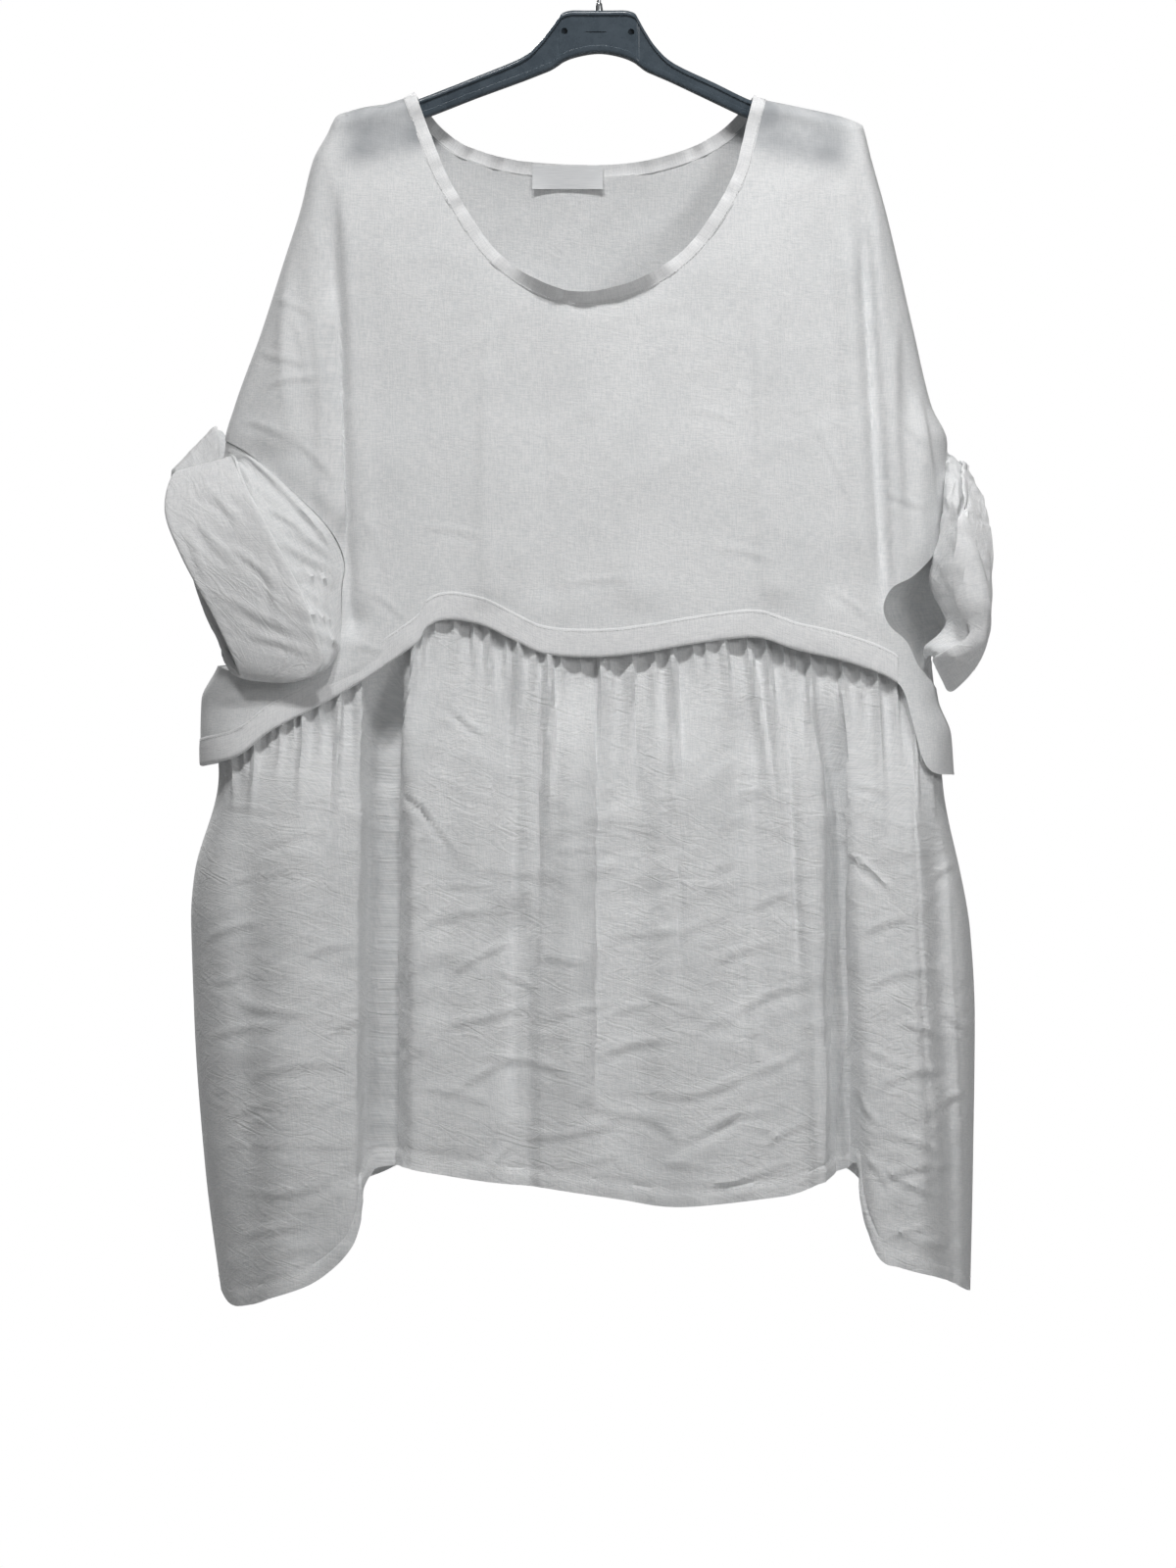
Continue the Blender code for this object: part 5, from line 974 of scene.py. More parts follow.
@lru_cache(maxsize=None)
def hem_band(side):
    """Rows of the doubled band along the bodice's free hem, as points, quads and coordinates."""
    panel = bodice_panel(side)
    hem = panel[0][panel[3]["hem"]][1:-1]
    x, z_hem = hem[hem[:, 0] < BAND_END_X][:, (0, 2)].T
    turned = side == FRONT
    rises, shares = np.array(BAND_FORM).T
    points = np.concatenate([
        np.stack([x, bodice(x, z_hem + max(rise, 0.0), side), z_hem + rise], axis=1)
        for rise in rises])
    faces = grid_faces(len(BAND_FORM), len(x), turned=turned)
    # The normals are the panel's own, taken a little above its edge.
    level = np.concatenate([np.stack([x, bodice(x, z_hem + rise, side), z_hem + rise], axis=1)
                            for rise in (12.0, 4.0)])
    outer = surface_normals(level, grid_faces(2, len(x), turned=turned))[: len(x)]
    x_all, _, z_all = points.T
    creased, lined = by_hand(x_all, z_all, side, BODICE_CREASES, BODICE_LINES)
    high = creased + crumples(x_all, z_all, BAND_CRUMPLES, BODICE_SEEDS[side]) + lined
    lift = (CLOTH + SEAM_GAP + BAND_SLACK) * np.repeat(shares, len(x)) + high
    points = points + np.tile(outer, (len(BAND_FORM), 1)) * lift[:, None]
    drop = -np.repeat(run_of(np.hypot(*np.diff(np.array(BAND_FORM), axis=0).T)), len(x))
    return points, faces, surface_normals(points, faces), np.stack([x_all, drop], axis=1)


def linear(code):
    """A sRGB hex colour as the linear RGBA that shaders work in."""
    parts = [int(code[i:i + 2], 16) / 255.0 for i in (1, 3, 5)]
    return (*((c / 12.92 if c <= 0.04045 else ((c + 0.055) / 1.055) ** 2.4) for c in parts), 1.0)


def softened(mesh):
    """The mesh shaded smooth, but for its sharp edges."""
    mesh.shade_smooth()
    mesh.set_sharp_from_angle(angle=math.radians(SHARP_DEGREES))


def placed(name, mesh, look=None):
    """An object of the mesh in the scene, its surface dressed if there is a look for it."""
    if look:
        mesh.materials.append(look)
        softened(mesh)
    made = bpy.data.objects.new(name, mesh)
    bpy.context.collection.objects.link(made)
    return made


def wall(name, points, faces, normals, thick, look, cloth=None, crumpled=0.0, shaded=False,
         wrap=None):
    """A mesh with this thickness about an open surface, closed with a rim along its free edges.

    cloth holds the place of each point on the flat cloth in millimetres, and wrap what is added to
    its first column where a tube closes. crumpled is how far the finest crumples show, and shaded
    is true where the dark hanger may show through.
    """
    count = len(points)
    both = np.concatenate([points + normals * thick / 2, points - normals * thick / 2]) * MM
    sides = faces.tolist() + (faces[:, ::-1] + count).tolist()
    directed = set(zip(faces.ravel().tolist(), np.roll(faces, -1, axis=1).ravel().tolist()))
    sides += sorted((b, a, count + a, count + b) for a, b in directed if (b, a) not in directed)
    mesh = bpy.data.meshes.new(name)
    mesh.from_pydata(both.tolist(), [], sides)
    mesh.validate()
    if cloth is None:
        cloth = points[:, (0, 2)]
    corner = np.empty(len(mesh.loops), np.int32)
    mesh.loops.foreach_get("vertex_index", corner)
    place = np.concatenate([cloth, cloth])[corner] * MM
    if wrap is not None:
        place = wrapped(mesh, corner % count, place, *wrap)
    layer = mesh.uv_layers.new(name="cloth")
    layer.data.foreach_set("uv", place.astype(np.float32).ravel())
    colours = np.zeros((2 * count, 4), np.float32)
    colours[:, 1], colours[:, 3] = crumpled, 1.0
    if shaded:
        colours[:, 0] = np.tile(see_through(points), 2)
    tone = mesh.color_attributes.new(name="tone", type="FLOAT_COLOR", domain="POINT")
    tone.data.foreach_set("color", colours.ravel())
    return placed(name, mesh, look)


def wrapped(mesh, corner, place, columns, around):
    """Cloth places of a tube's face corners, carried on past the line where the tube closes."""
    starts = np.empty(len(mesh.polygons), np.int32)
    sizes = np.empty(len(mesh.polygons), np.int32)
    mesh.polygons.foreach_get("loop_start", starts)
    mesh.polygons.foreach_get("loop_total", sizes)
    column = corner % columns
    face = np.repeat(np.arange(len(starts)), sizes)
    has_last = np.zeros(len(starts), bool)
    np.logical_or.at(has_last, face, column == columns - 1)
    over = has_last[face] & (column == 0)
    place = place.copy()
    place[over, 0] += around * MM
    return place


def tube_cloth(rows):
    """Cloth places over a tube's rows: round it and along it, and how far it is round."""
    stack = np.stack(rows)
    around = np.linalg.norm(np.roll(stack, -1, axis=1) - stack, axis=2).mean(axis=0)
    run = run_of(around)
    down = np.linalg.norm(np.diff(stack, axis=0), axis=2).mean(axis=1)
    u, v = np.meshgrid(run[:-1], run_of(down))
    return np.stack([u, v], axis=-1).reshape(-1, 2), float(run[-1])


@lru_cache(maxsize=None)
def sleeve_parts(left):
    """Points, quads, normals, rows and cloth coordinates of a sleeve, and the same of its cuff."""
    sections, marks, lifts = (
        (SLEEVE_LEFT, MARKS_LEFT, CUFF_LEFT_LIFT) if left
        else (SLEEVE_RIGHT, MARKS_RIGHT, CUFF_RIGHT_LIFT)
    )
    word = "left" if left else "right"
    ring, ring_normals = ring_between(bodice_panel(FRONT), bodice_panel(BACK), "hole_" + word,
                                      not left, left)
    ring = into_opening(ring, ring_normals, -SEAM_UNDER) - ring_normals * SEAM_UNDER
    marks = tuple(mark * HOLE_RATIO for mark in marks)
    shares = np.linspace(0.0, 1.0, SLEEVE_ROWS)
    rows = np.stack(sleeve_rows(ring, sections, marks, shares, 1.0 if left else SLEEVE_DIVE))
    for _ in range(SLEEVE_SOFTEN):
        rows[1:-1] = (rows[:-2] + 2 * rows[1:-1] + rows[2:]) / 4
    around = rows.shape[1]
    cloth, round_all = tube_cloth(list(rows))
    points = rows.reshape(-1, 3)
    faces = grid_faces(SLEEVE_ROWS, around, closed=True, turned=left)
    normals = surface_normals(points, faces)
    normals[:around] = unit(ring_normals + normals[:around])
    part = np.repeat(shares, around)
    from_seam = smooth(part / SLEEVE_CALM_SHARE)
    high = tube_crumples(cloth, round_all, SLEEVE_CRUMPLES, SLEEVE_SEEDS[left])
    high *= 1.0 - CUFF_SMOOTHER * smooth((part - CUFF_FROM + 0.05) / 0.1)
    high += creases(points[:, 0], points[:, 2], SLEEVE_CREASES) * (normals[:, 1] < 0.2)
    groove = SEAM_GROOVE * np.exp(-((part / SEAM_GROOVE_SHARE) ** 2))
    points = points + normals * (high * from_seam - groove)[:, None]
    normals = surface_normals(points, faces)
    normals[:around] = unit(ring_normals + normals[:around])
    lift = round_stations([(v,) for v in lifts], marks, around)
    first = int(np.argmax(shares >= CUFF_FROM - 1e-9))
    cuff_rows, span = [], SLEEVE_ROWS - 1 - first
    grid, up = points.reshape(SLEEVE_ROWS, around, 3), normals.reshape(SLEEVE_ROWS, around, 3)
    for _ in range(CUFF_EVENED):
        up = (np.roll(up, 1, axis=1) + 2 * up + np.roll(up, -1, axis=1)) / 4
    up = unit(up.reshape(-1, 3)).reshape(up.shape)
    inward = unit(grid[first] - grid[first + 2])
    for beyond, under in CUFF_HEM:
        away = CLOTH + SEAM_GAP + CUFF_OFF + np.maximum(lift - under, 0.0)
        cuff_rows.append(grid[first] + inward * beyond + up[first] * away)
    for i in range(first, SLEEVE_ROWS):
        away = CLOTH + SEAM_GAP + CUFF_OFF + lift * (1.0 - (i - first) / span)
        cuff_rows.append(grid[i] + up[i] * away)
    onward = unit(grid[-1] - grid[-3])
    for beyond, away in CUFF_FOLD:
        cuff_rows.append(grid[-1] + onward * beyond + up[-1] * away)
    cuff_points = np.concatenate(cuff_rows)
    cuff_faces = grid_faces(len(cuff_rows), around, closed=True, turned=left)
    cuff_cloth, cuff_round = tube_cloth(cuff_rows)
    cuff = (cuff_points, cuff_faces, surface_normals(cuff_points, cuff_faces), cuff_cloth,
            cuff_round, around)
    return (points, faces, normals, cloth, round_all, around), cuff


def tube_crumples(cloth, round_all, rows, seed):
    """Crumples that close on themselves round a tube."""
    u, v = cloth.T
    part = u / round_all
    blend = smooth((part - 0.85) / 0.15)
    here = crumples(u, v, rows, seed)
    return here * (1.0 - blend) + crumples(u - round_all, v, rows, seed) * blend


def see_through(points):
    """How far the dark hanger shows through the cloth that lies on its arms, 0 to 1."""
    hanger = np.array(HANGER)
    x, y, z = points.T
    top, low = (np.interp(x, hanger[:, 0], hanger[:, k]) for k in (1, 2))
    off = np.maximum(np.maximum(z - top, low - z - SHADE_BELOW), 0.0)
    shade = np.exp(-((off / SHADE_SPREAD) ** 2))
    shade *= smooth((x - hanger[0, 0] + 12) / 30) * smooth((hanger[-1, 0] + 12 - x) / 30)
    near = np.exp(-((np.maximum(np.abs(y) - 9.0, 0.0) / SHADE_DEEP) ** 2))
    return shade * near


def feed(tree, socket, value):
    """A node's input set, or linked where the value is another node's output."""
    if isinstance(value, bpy.types.NodeSocket):
        tree.links.new(value, socket)
    else:
        socket.default_value = value


def add_node(tree, kind, inputs=None, **settings):
    """A node with its settings, and its inputs set or linked by name or number."""
    made = tree.nodes.new(kind)
    for name, value in settings.items():
        setattr(made, name, value)
    for key, value in (inputs or {}).items():
        feed(tree, made.inputs[key], value)
    return made


def new_look(name):
    """An empty material with its Principled shader, and the tree that they stand in."""
    look = bpy.data.materials.new(name)
    look.use_nodes = True
    tree = look.node_tree
    tree.nodes.clear()
    shader = add_node(tree, "ShaderNodeBsdfPrincipled")
    add_node(tree, "ShaderNodeOutputMaterial", {"Surface": shader.outputs[0]})
    return look, tree, shader


def set_inputs(tree, shader, **values):
    """Inputs of a shader set or linked, their names with _ for each space."""
    for name, value in values.items():
        feed(tree, shader.inputs[name.replace("_", " ")], value)


def noise(tree, place, cell, detail=2.0, flat=False, **more):
    """Noise whose cells are this many millimetres, or this many along each axis."""
    scale = 1.0
    if isinstance(cell, tuple):
        place = add_node(tree, "ShaderNodeMapping", {
            "Vector": place, "Scale": tuple(1000.0 / size for size in cell)}).outputs[0]
    else:
        scale = 1000.0 / cell
    return add_node(tree, "ShaderNodeTexNoise", {
        "Vector": place, "Scale": scale, "Detail": detail, **more},
        noise_dimensions="2D" if flat else "3D").outputs[0]


def spread(tree, value, low, high, to_low=0.0, to_high=1.0):
    """A value carried from one range to another and held inside it."""
    return add_node(tree, "ShaderNodeMapRange", {
        "Value": value, "From Min": low, "From Max": high, "To Min": to_low,
        "To Max": to_high}).outputs[0]


def maths(tree, operation, *values):
    """The result of a sum over these values."""
    return add_node(tree, "ShaderNodeMath", dict(enumerate(values)),
                    operation=operation).outputs[0]


def mixed(tree, share, first, second):
    """A colour between two."""
    return add_node(tree, "ShaderNodeMix", {0: share, 6: first, 7: second},
                    data_type="RGBA").outputs[2]


def bumped(tree, height, strength, distance, **more):
    """Normals of a surface that rises by this height."""
    return add_node(tree, "ShaderNodeBump", {
        "Height": height, "Strength": strength, "Distance": distance, **more}).outputs[0]


def cloth_place(tree):
    """The place on the flat cloth, in metres."""
    return add_node(tree, "ShaderNodeUVMap", uv_map="cloth").outputs[0]


def solid_place(tree):
    """The place in the object itself, in metres."""
    return add_node(tree, "ShaderNodeTexCoord").outputs["Object"]


def linen_look(name, light, dark, shade):
    """Washed linen, plain weave: uneven slub threads both ways, cloudy softness, no gloss."""
    _, tree, shader = new_look(name)
    cloth = cloth_place(tree)
    # Threads lie 0.5 mm apart, too fine to show: only the slubs are drawn, 1.1 mm wide and up
    # to 12 mm long.
    warp, weft, specks = (noise(tree, cloth, size, 3.0, True, Roughness=0.75)
                          for size in ((9.0, 1.1, 1.0), (1.1, 12.0, 1.0), (1.8, 1.3, 1.0)))
    cloudy = noise(tree, cloth, 60.0, 3.0, True, Roughness=0.55)
    threads = maths(tree, "MULTIPLY_ADD", specks, 0.5, maths(tree, "ADD", warp, weft))
    share = maths(tree, "MULTIPLY_ADD", cloudy, 0.5, spread(tree, threads, 0.95, 1.55))
    colour = mixed(tree, spread(tree, share, 0.35, 1.15), dark, light)
    tone = add_node(tree, "ShaderNodeAttribute", attribute_name="tone").outputs["Color"]
    behind, crumpled = add_node(tree, "ShaderNodeSeparateColor", {0: tone}).outputs[:2]
    crumpled = maths(tree, "MULTIPLY", crumpled, spread(tree, cloudy, 0.35, 0.65, 0.5))
    behind = maths(tree, "MULTIPLY", behind, spread(tree, cloudy, 0.25, 0.75, 0.35))
    bump = bumped(tree, threads, 0.4, 0.0004)
    # The finest crumples, too small for the mesh: strokes turned both ways.
    for size, turn, high in (((26.0, 7.0, 1.0), 0.3, 0.0015), ((14.0, 4.5, 1.0), -0.4, 0.0008)):
        turned = add_node(tree, "ShaderNodeMapping", {"Vector": cloth, "Rotation": (0, 0, turn)})
        strokes = noise(tree, turned.outputs[0], size, 2.0, True, Distortion=0.6)
        ridges = maths(tree, "ABSOLUTE", maths(tree, "SUBTRACT", strokes, 0.5))
        bump = bumped(tree, ridges, crumpled, high, Normal=bump)
    set_inputs(tree, shader, Base_Color=mixed(tree, behind, colour, shade), Roughness=0.92,
               Specular_IOR_Level=0.2, Sheen_Weight=0.12, Sheen_Roughness=0.6, Normal=bump)


def plastic_look(finish):
    """Injection-moulded polypropylene, near black: a satin skin with a soft wide highlight."""
    look, tree, shader = new_look("moulded_polypropylene")
    place = solid_place(tree)
    # A spark-eroded mould leaves a grain about 0.6 mm wide.
    grain = noise(tree, place, 0.6)
    scuffs = noise(tree, place, 14.0, 4.0, Roughness=0.7)
    set_inputs(tree, shader, IOR=1.49, Roughness=spread(tree, scuffs, 0.3, 0.7, 0.2, 0.36),
               Base_Color=mixed(tree, scuffs, tuple(finish.plastic), linear("#56616A")),
               Normal=bumped(tree, grain, 0.15, 0.0001))
    return look


def steel_look():
    """Bright zinc-plated steel wire, drawn: fine lines along it and a slightly soft mirror."""
    look, tree, shader = new_look("zinc_plated_steel")
    lines = noise(tree, solid_place(tree), (0.5, 0.5, 12))
    set_inputs(tree, shader, Metallic=1.0, Roughness=spread(tree, lines, 0.3, 0.7, 0.18, 0.34),
               Base_Color=mixed(tree, lines, linear("#A9ACAF"), linear("#D3D5D6")))
    return look


def satin_look():
    """Woven polyester satin of the label: smooth, whiter than the linen, faint ribs across."""
    look, tree, shader = new_look("woven_polyester_satin")
    # Weft ribs of a label lie 0.25 mm apart: drawn three times as coarse so that they show.
    ribs = noise(tree, cloth_place(tree), (14, 0.8, 1), flat=True)
    set_inputs(tree, shader, Roughness=0.5, Sheen_Weight=0.2,
               Base_Color=mixed(tree, ribs, linear("#DADCDE"), linear("#F2F3F4")),
               Normal=bumped(tree, ribs, 0.3, 0.0002))
    return look


def thread_look(finish):
    """Spun polyester sewing thread, two plies twisted: a little whiter and smoother than linen."""
    look, tree, shader = new_look("spun_polyester_thread")
    twist = noise(tree, solid_place(tree), 0.7, 1.0)
    set_inputs(tree, shader, Roughness=0.6, Sheen_Weight=0.1,
               Base_Color=mixed(tree, twist, linear("#CFD1D2"), tuple(finish.thread)))
    return look


def linens(finish):
    """The two looks of the cloth, made once: single and doubled."""
    looks = (("plain_weave_linen", finish.linen_light, finish.linen_dark),
             ("doubled_plain_weave_linen", finish.doubled_light, finish.doubled_dark))
    for name, light, dark in looks:
        if name not in bpy.data.materials:
            linen_look(name, tuple(light), tuple(dark), tuple(finish.shade))
    return [bpy.data.materials[name] for name, _, _ in looks]


def board_look():
    """Matt emulsion paint on board: no gloss, and the faintest clouds of a roller."""
    look, tree, shader = new_look("matt_painted_board")
    faint = noise(tree, solid_place(tree), 1000.0 / 3.0)
    set_inputs(tree, shader, Roughness=0.8,
               Base_Color=mixed(tree, faint, linear("#EDEEEF"), linear("#F5F5F5")))
    return look


def declared(made, node):
    """The made sheet hung on the body's empty in its solid's place, the solid itself hidden."""
    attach(made, BODY_NAME)
    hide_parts(node)


def binding_rows(ring, normals):
    """Rows across the neck binding: rounded like a folded strip, with small puckers."""
    run = run_of(np.linalg.norm(np.diff(ring, axis=0), axis=1))
    pucker = (value_noise(run / PUCKER_LONG, np.zeros(len(ring)), BINDING_SEED) - 0.5) * PUCKER
    pucker = pucker * smooth(run / PUCKER_ENDS) * smooth((run[-1] - run) / PUCKER_ENDS)
    low = smooth(-ring[:, 1] / ROLL_FRONT) * smooth((ROLL_FROM_Z - ring[:, 2]) / ROLL_OVER)
    rows = []
    for part in np.linspace(0.0, 1.0, BINDING_ROWS):
        reach = BINDING_WIDE + BINDING_GAP + BINDING_OVER
        row = into_opening(ring, normals, reach * part - BINDING_OVER)
        bulge = BINDING_BULGE * math.sin(math.pi * part) + pucker * (0.4 + part)
        roll = low * BINDING_ROLL * part**1.5
        rows.append(row + normals * bulge[:, None] - np.outer(roll, (0.0, 1.0, 0.0)))
    return rows


def tube_section(centre, ahead, radius, sides):
    """A round section of a tube, square to the way it runs."""
    across = np.cross(ahead, (0.0, 1.0, 0.0))
    turn = np.linspace(0, 2 * math.pi, sides, endpoint=False)[:, None]
    return centre + radius * (np.cos(turn) * across + np.sin(turn) * np.array((0.0, 1.0, 0.0)))


def closed_loft(name, rings, look):
    """A closed body through rings of points, capped at both ends."""
    sides = len(rings[0])
    faces = grid_faces(len(rings), sides, closed=True).tolist()
    last = (len(rings) - 1) * sides
    faces += [list(reversed(range(sides))), [last + k for k in range(sides)]]
    mesh = bpy.data.meshes.new(name)
    mesh.from_pydata((np.concatenate(rings) * MM).tolist(), [], faces)
    outward(mesh)
    return placed(name, mesh, look)


def outward(mesh):
    """The faces of a closed mesh set to point out of it."""
    edit = bmesh.new()
    edit.from_mesh(mesh)
    bmesh.ops.recalc_face_normals(edit, faces=edit.faces)
    if edit.calc_volume(signed=True) < 0:
        bmesh.ops.reverse_faces(edit, faces=edit.faces)
    edit.to_mesh(mesh)
    edit.free()


def hook_rings():
    """Rings of the hook: collar, shank, crown and a rounded tip."""
    radius = HOOK_INNER + HOOK_WIRE
    low = BLOCK_TOP + SEAM_GAP
    line = [(0.0, low + COLLAR_TALL + 0.5), *SHANK]
    for degrees in range(*CROWN_DEGREES):
        turn = math.radians(degrees)
        line.append((radius * math.cos(turn), -HOOK_INNER + radius * math.sin(turn)))
    x, z = along(curved(line, 8), HOOK_STEPS).T
    path = np.stack([x, np.zeros(HOOK_STEPS), z], axis=1)
    ahead = unit(np.gradient(path, axis=0))
    up = np.array((0.0, 0.0, 1.0))
    sections = [(up * (low + height), up, wide) for height, wide in COLLAR_PROFILE]
    sections += [(centre, direction, HOOK_WIRE) for centre, direction in zip(path, ahead)]
    sections += [(path[-1] + ahead[-1] * HOOK_WIRE * part * 0.8, ahead[-1],
                  HOOK_WIRE * math.sqrt(1.0 - part**2)) for part in (0.5, 0.85, 0.98)]
    return [tube_section(*section, HOOK_SIDES) for section in sections]


def hanger_rings():
    """Rings of the hanger's bar from tip to tip, their edges rounded."""
    fine = catmull(HANGER, np.linspace(0, len(HANGER) - 1, (len(HANGER) - 1) * 4 + 1))
    rings = []
    turns = np.linspace(0.0, math.pi / 2, 4)
    for x, top, low, half in fine:
        half += BLOCK_PROUD * float(smooth((x - BLOCK_FROM) / BLOCK_STEP)
                                    * smooth((BLOCK_TO - x) / BLOCK_STEP))
        cut = min(HANGER_EDGE, half * 0.6, (top - low) * 0.35)
        corners = ((-half + cut, low + cut, math.pi), (half - cut, low + cut, 1.5 * math.pi),
                   (half - cut, top - cut, 0.0), (-half + cut, top - cut, 0.5 * math.pi))
        ring = [(x, y + cut * math.cos(start + turn), z + cut * math.sin(start + turn))
                for y, z, start in corners for turn in turns]
        sunk = RECESS_DEEP * float(smooth((top - low - 2 * RIM_LOW) / RECESS_FROM))
        for z, deep in ((top - RIM_TOP, 0.0), (top - RIM_TOP - sunk / 2, 1.0),
                        (low + RIM_LOW + sunk / 2, 1.0), (low + RIM_LOW, 0.0)):
            ring.append((x, sunk * deep - half, z))
        rings.append(np.array(ring))
    return rings


def baked(made):
    """The object's mesh replaced by what its modifiers make of it."""
    graph = bpy.context.evaluated_depsgraph_get()
    mesh = bpy.data.meshes.new_from_object(made.evaluated_get(graph))
    made.modifiers.clear()
    old, made.data = made.data, mesh
    bpy.data.meshes.remove(old)
    return mesh


def cut_from(body, cutters):
    """The body with the closed cutters taken out, as a plain mesh."""
    for cutter in cutters:
        taken = body.modifiers.new("cut", "BOOLEAN")
        taken.operation, taken.solver, taken.object = "DIFFERENCE", "EXACT", cutter
    softened(baked(body))
    for cutter in cutters:
        spent = cutter.data
        bpy.data.objects.remove(cutter)
        bpy.data.meshes.remove(spent)


def stitch_tree():
    """Stitches along every line of a wire mesh: a small rounded bar at even steps."""
    tree = bpy.data.node_groups.new("Topstitching", "GeometryNodeTree")
    for name, kind, default in (
            ("Seam Lines", "Geometry", None), ("Stitch Length", "Float", 0.0024),
            ("Stitch Step", "Float", 0.0032), ("Thread Thickness", "Float", 0.0005),
            ("Thread", "Material", None), ("Seed", "Int", STITCH_SEED)):
        socket = tree.interface.new_socket(name, in_out="INPUT", socket_type="NodeSocket" + kind)
        if default is not None:
            socket.default_value = default
        if kind == "Float":
            socket.subtype = "DISTANCE"
    tree.interface.new_socket("Stitches", in_out="OUTPUT", socket_type="NodeSocketGeometry")
    given = add_node(tree, "NodeGroupInput").outputs
    line = add_node(tree, "GeometryNodeMeshToCurve", {"Mesh": given["Seam Lines"]}).outputs[0]
    even = add_node(tree, "GeometryNodeResampleCurve", {
        "Curve": line, "Length": given["Stitch Step"]}, mode="LENGTH").outputs[0]
    tangent = add_node(tree, "GeometryNodeInputTangent").outputs[0]
    turned = add_node(tree, "FunctionNodeAlignRotationToVector", {"Vector": tangent}, axis="Z")
    bar = add_node(tree, "GeometryNodeMeshUVSphere", {"Segments": 6, "Rings": 5, "Radius": 0.5})
    wide = add_node(tree, "ShaderNodeCombineXYZ", {
        0: given["Thread Thickness"], 1: given["Thread Thickness"], 2: given["Stitch Length"]})
    uneven = add_node(tree, "FunctionNodeRandomValue", {
        "Min": 0.88, "Max": 1.06, "Seed": given["Seed"]}, data_type="FLOAT")
    size = add_node(tree, "ShaderNodeVectorMath", {
        0: wide.outputs[0], "Scale": uneven.outputs["Value"]}, operation="SCALE")
    placed = add_node(tree, "GeometryNodeInstanceOnPoints", {
        "Points": even, "Instance": bar.outputs[0], "Rotation": turned.outputs[0],
        "Scale": size.outputs[0]}).outputs[0]
    solid = add_node(tree, "GeometryNodeRealizeInstances", {"Geometry": placed}).outputs[0]
    dressed = add_node(tree, "GeometryNodeSetMaterial", {
        "Geometry": solid, "Material": given["Thread"]}).outputs[0]
    add_node(tree, "NodeGroupOutput", {"Stitches": dressed})
    return tree


def wire_object(name, lines):
    """A mesh of open polylines, its points in millimetres."""
    points, edges = [], []
    for line in lines:
        first = len(points)
        points.extend(line * MM)
        edges += [(k, k + 1) for k in range(first, len(points) - 1)]
    mesh = bpy.data.meshes.new(name)
    mesh.from_pydata([tuple(p) for p in points], edges, [])
    return placed(name, mesh)


def grown(holder, tree, settings):
    """The holder's mesh replaced by what the tree makes of it."""
    modifier = holder.modifiers.new(tree.name, "NODES")
    modifier.node_group = tree
    for item in tree.interface.items_tree:
        if item.item_type == "SOCKET" and item.in_out == "INPUT" and item.name in settings:
            modifier[item.identifier] = settings[item.name]
    baked(holder).shade_smooth()


def stitch_lines():
    """The lines of topstitching, on the cloth's outer side."""
    lines = []
    for side in (FRONT, BACK):
        points, _, normals, _ = hem_band(side)
        rows, ups = (v.reshape(len(BAND_FORM), -1, 3) for v in (points, normals))
        lines.append(rows[BAND_STITCH_ROW] + ups[BAND_STITCH_ROW] * STITCH_LIFT)
        points, _, normals, _, (row_count, count) = skirt_panel(side)
        grid, up = (v.reshape(row_count, count, 3) for v in (points, normals))
        above = grid[:, :, 2] - grid[-1, :, 2]
        k = np.argmax(above <= HEM_TURN_TALL - HEM_STITCH_BELOW, axis=0)
        column = np.arange(count)
        t = ((above[k - 1, column] - HEM_TURN_TALL + HEM_STITCH_BELOW)
             / (above[k - 1, column] - above[k, column]))[:, None]
        line = grid[k - 1, column] * (1 - t) + grid[k, column] * t
        lines.append((line + up[k, column] * STITCH_LIFT)[2:-2])
    ring, normals = neck_ring()
    rounds = [binding_rows(ring, normals)[1] + normals * (BINDING_THICK / 2 + 0.1)]
    for left in (True, False):
        points, _, normals, _, _, around = sleeve_parts(left)[1]
        at = slice(CUFF_STITCH_ROW * around, (CUFF_STITCH_ROW + 1) * around)
        rounds.append(points[at] + normals[at] * STITCH_LIFT)
    return lines + [np.concatenate([row, row[:1]]) for row in rounds]


def neck_ring():
    """The closed edge of the neck, and its normals."""
    return ring_between(bodice_panel(FRONT), bodice_panel(BACK), "neck", False, True)


def colour(name, description, code):
    """A colour that the user may change."""
    return FloatVectorProperty(name=name, description=description, subtype="COLOR", size=4,
                               default=linear(code), min=0.0, max=1.0)


def length(name, description, default, low, high):
    """A length in metres that the user may change."""
    return FloatProperty(name=name, description=description, subtype="DISTANCE", unit="LENGTH",
                         default=default, min=low, max=high)


def power(name, description, default):
    """A lamp's power in watts that the user may change."""
    return FloatProperty(name=name, description=description, subtype="POWER", unit="POWER",
                         default=default, min=0.0)


class TunicFinish(PropertyGroup):
    """Colours of the linen, its thread and the hanger."""

    linen_light: colour("Linen, light threads", "The single cloth's lighter threads", "#F3F3F3")
    linen_dark: colour("Linen, dark threads", "The single cloth's darker threads", "#E0E2E3")
    doubled_light: colour("Doubled linen, light threads", "Where the cloth is doubled", "#F7F7F7")
    doubled_dark: colour("Doubled linen, dark threads", "Its darker threads", "#E7E8E9")
    shade: colour("Shade of the hanger", "The cloth where the hanger shows through", "#8E9297")
    thread: colour("Thread", "The sewing thread", "#F4F4F4")
    plastic: colour("Plastic", "The hanger's moulded body", "#3A434B")


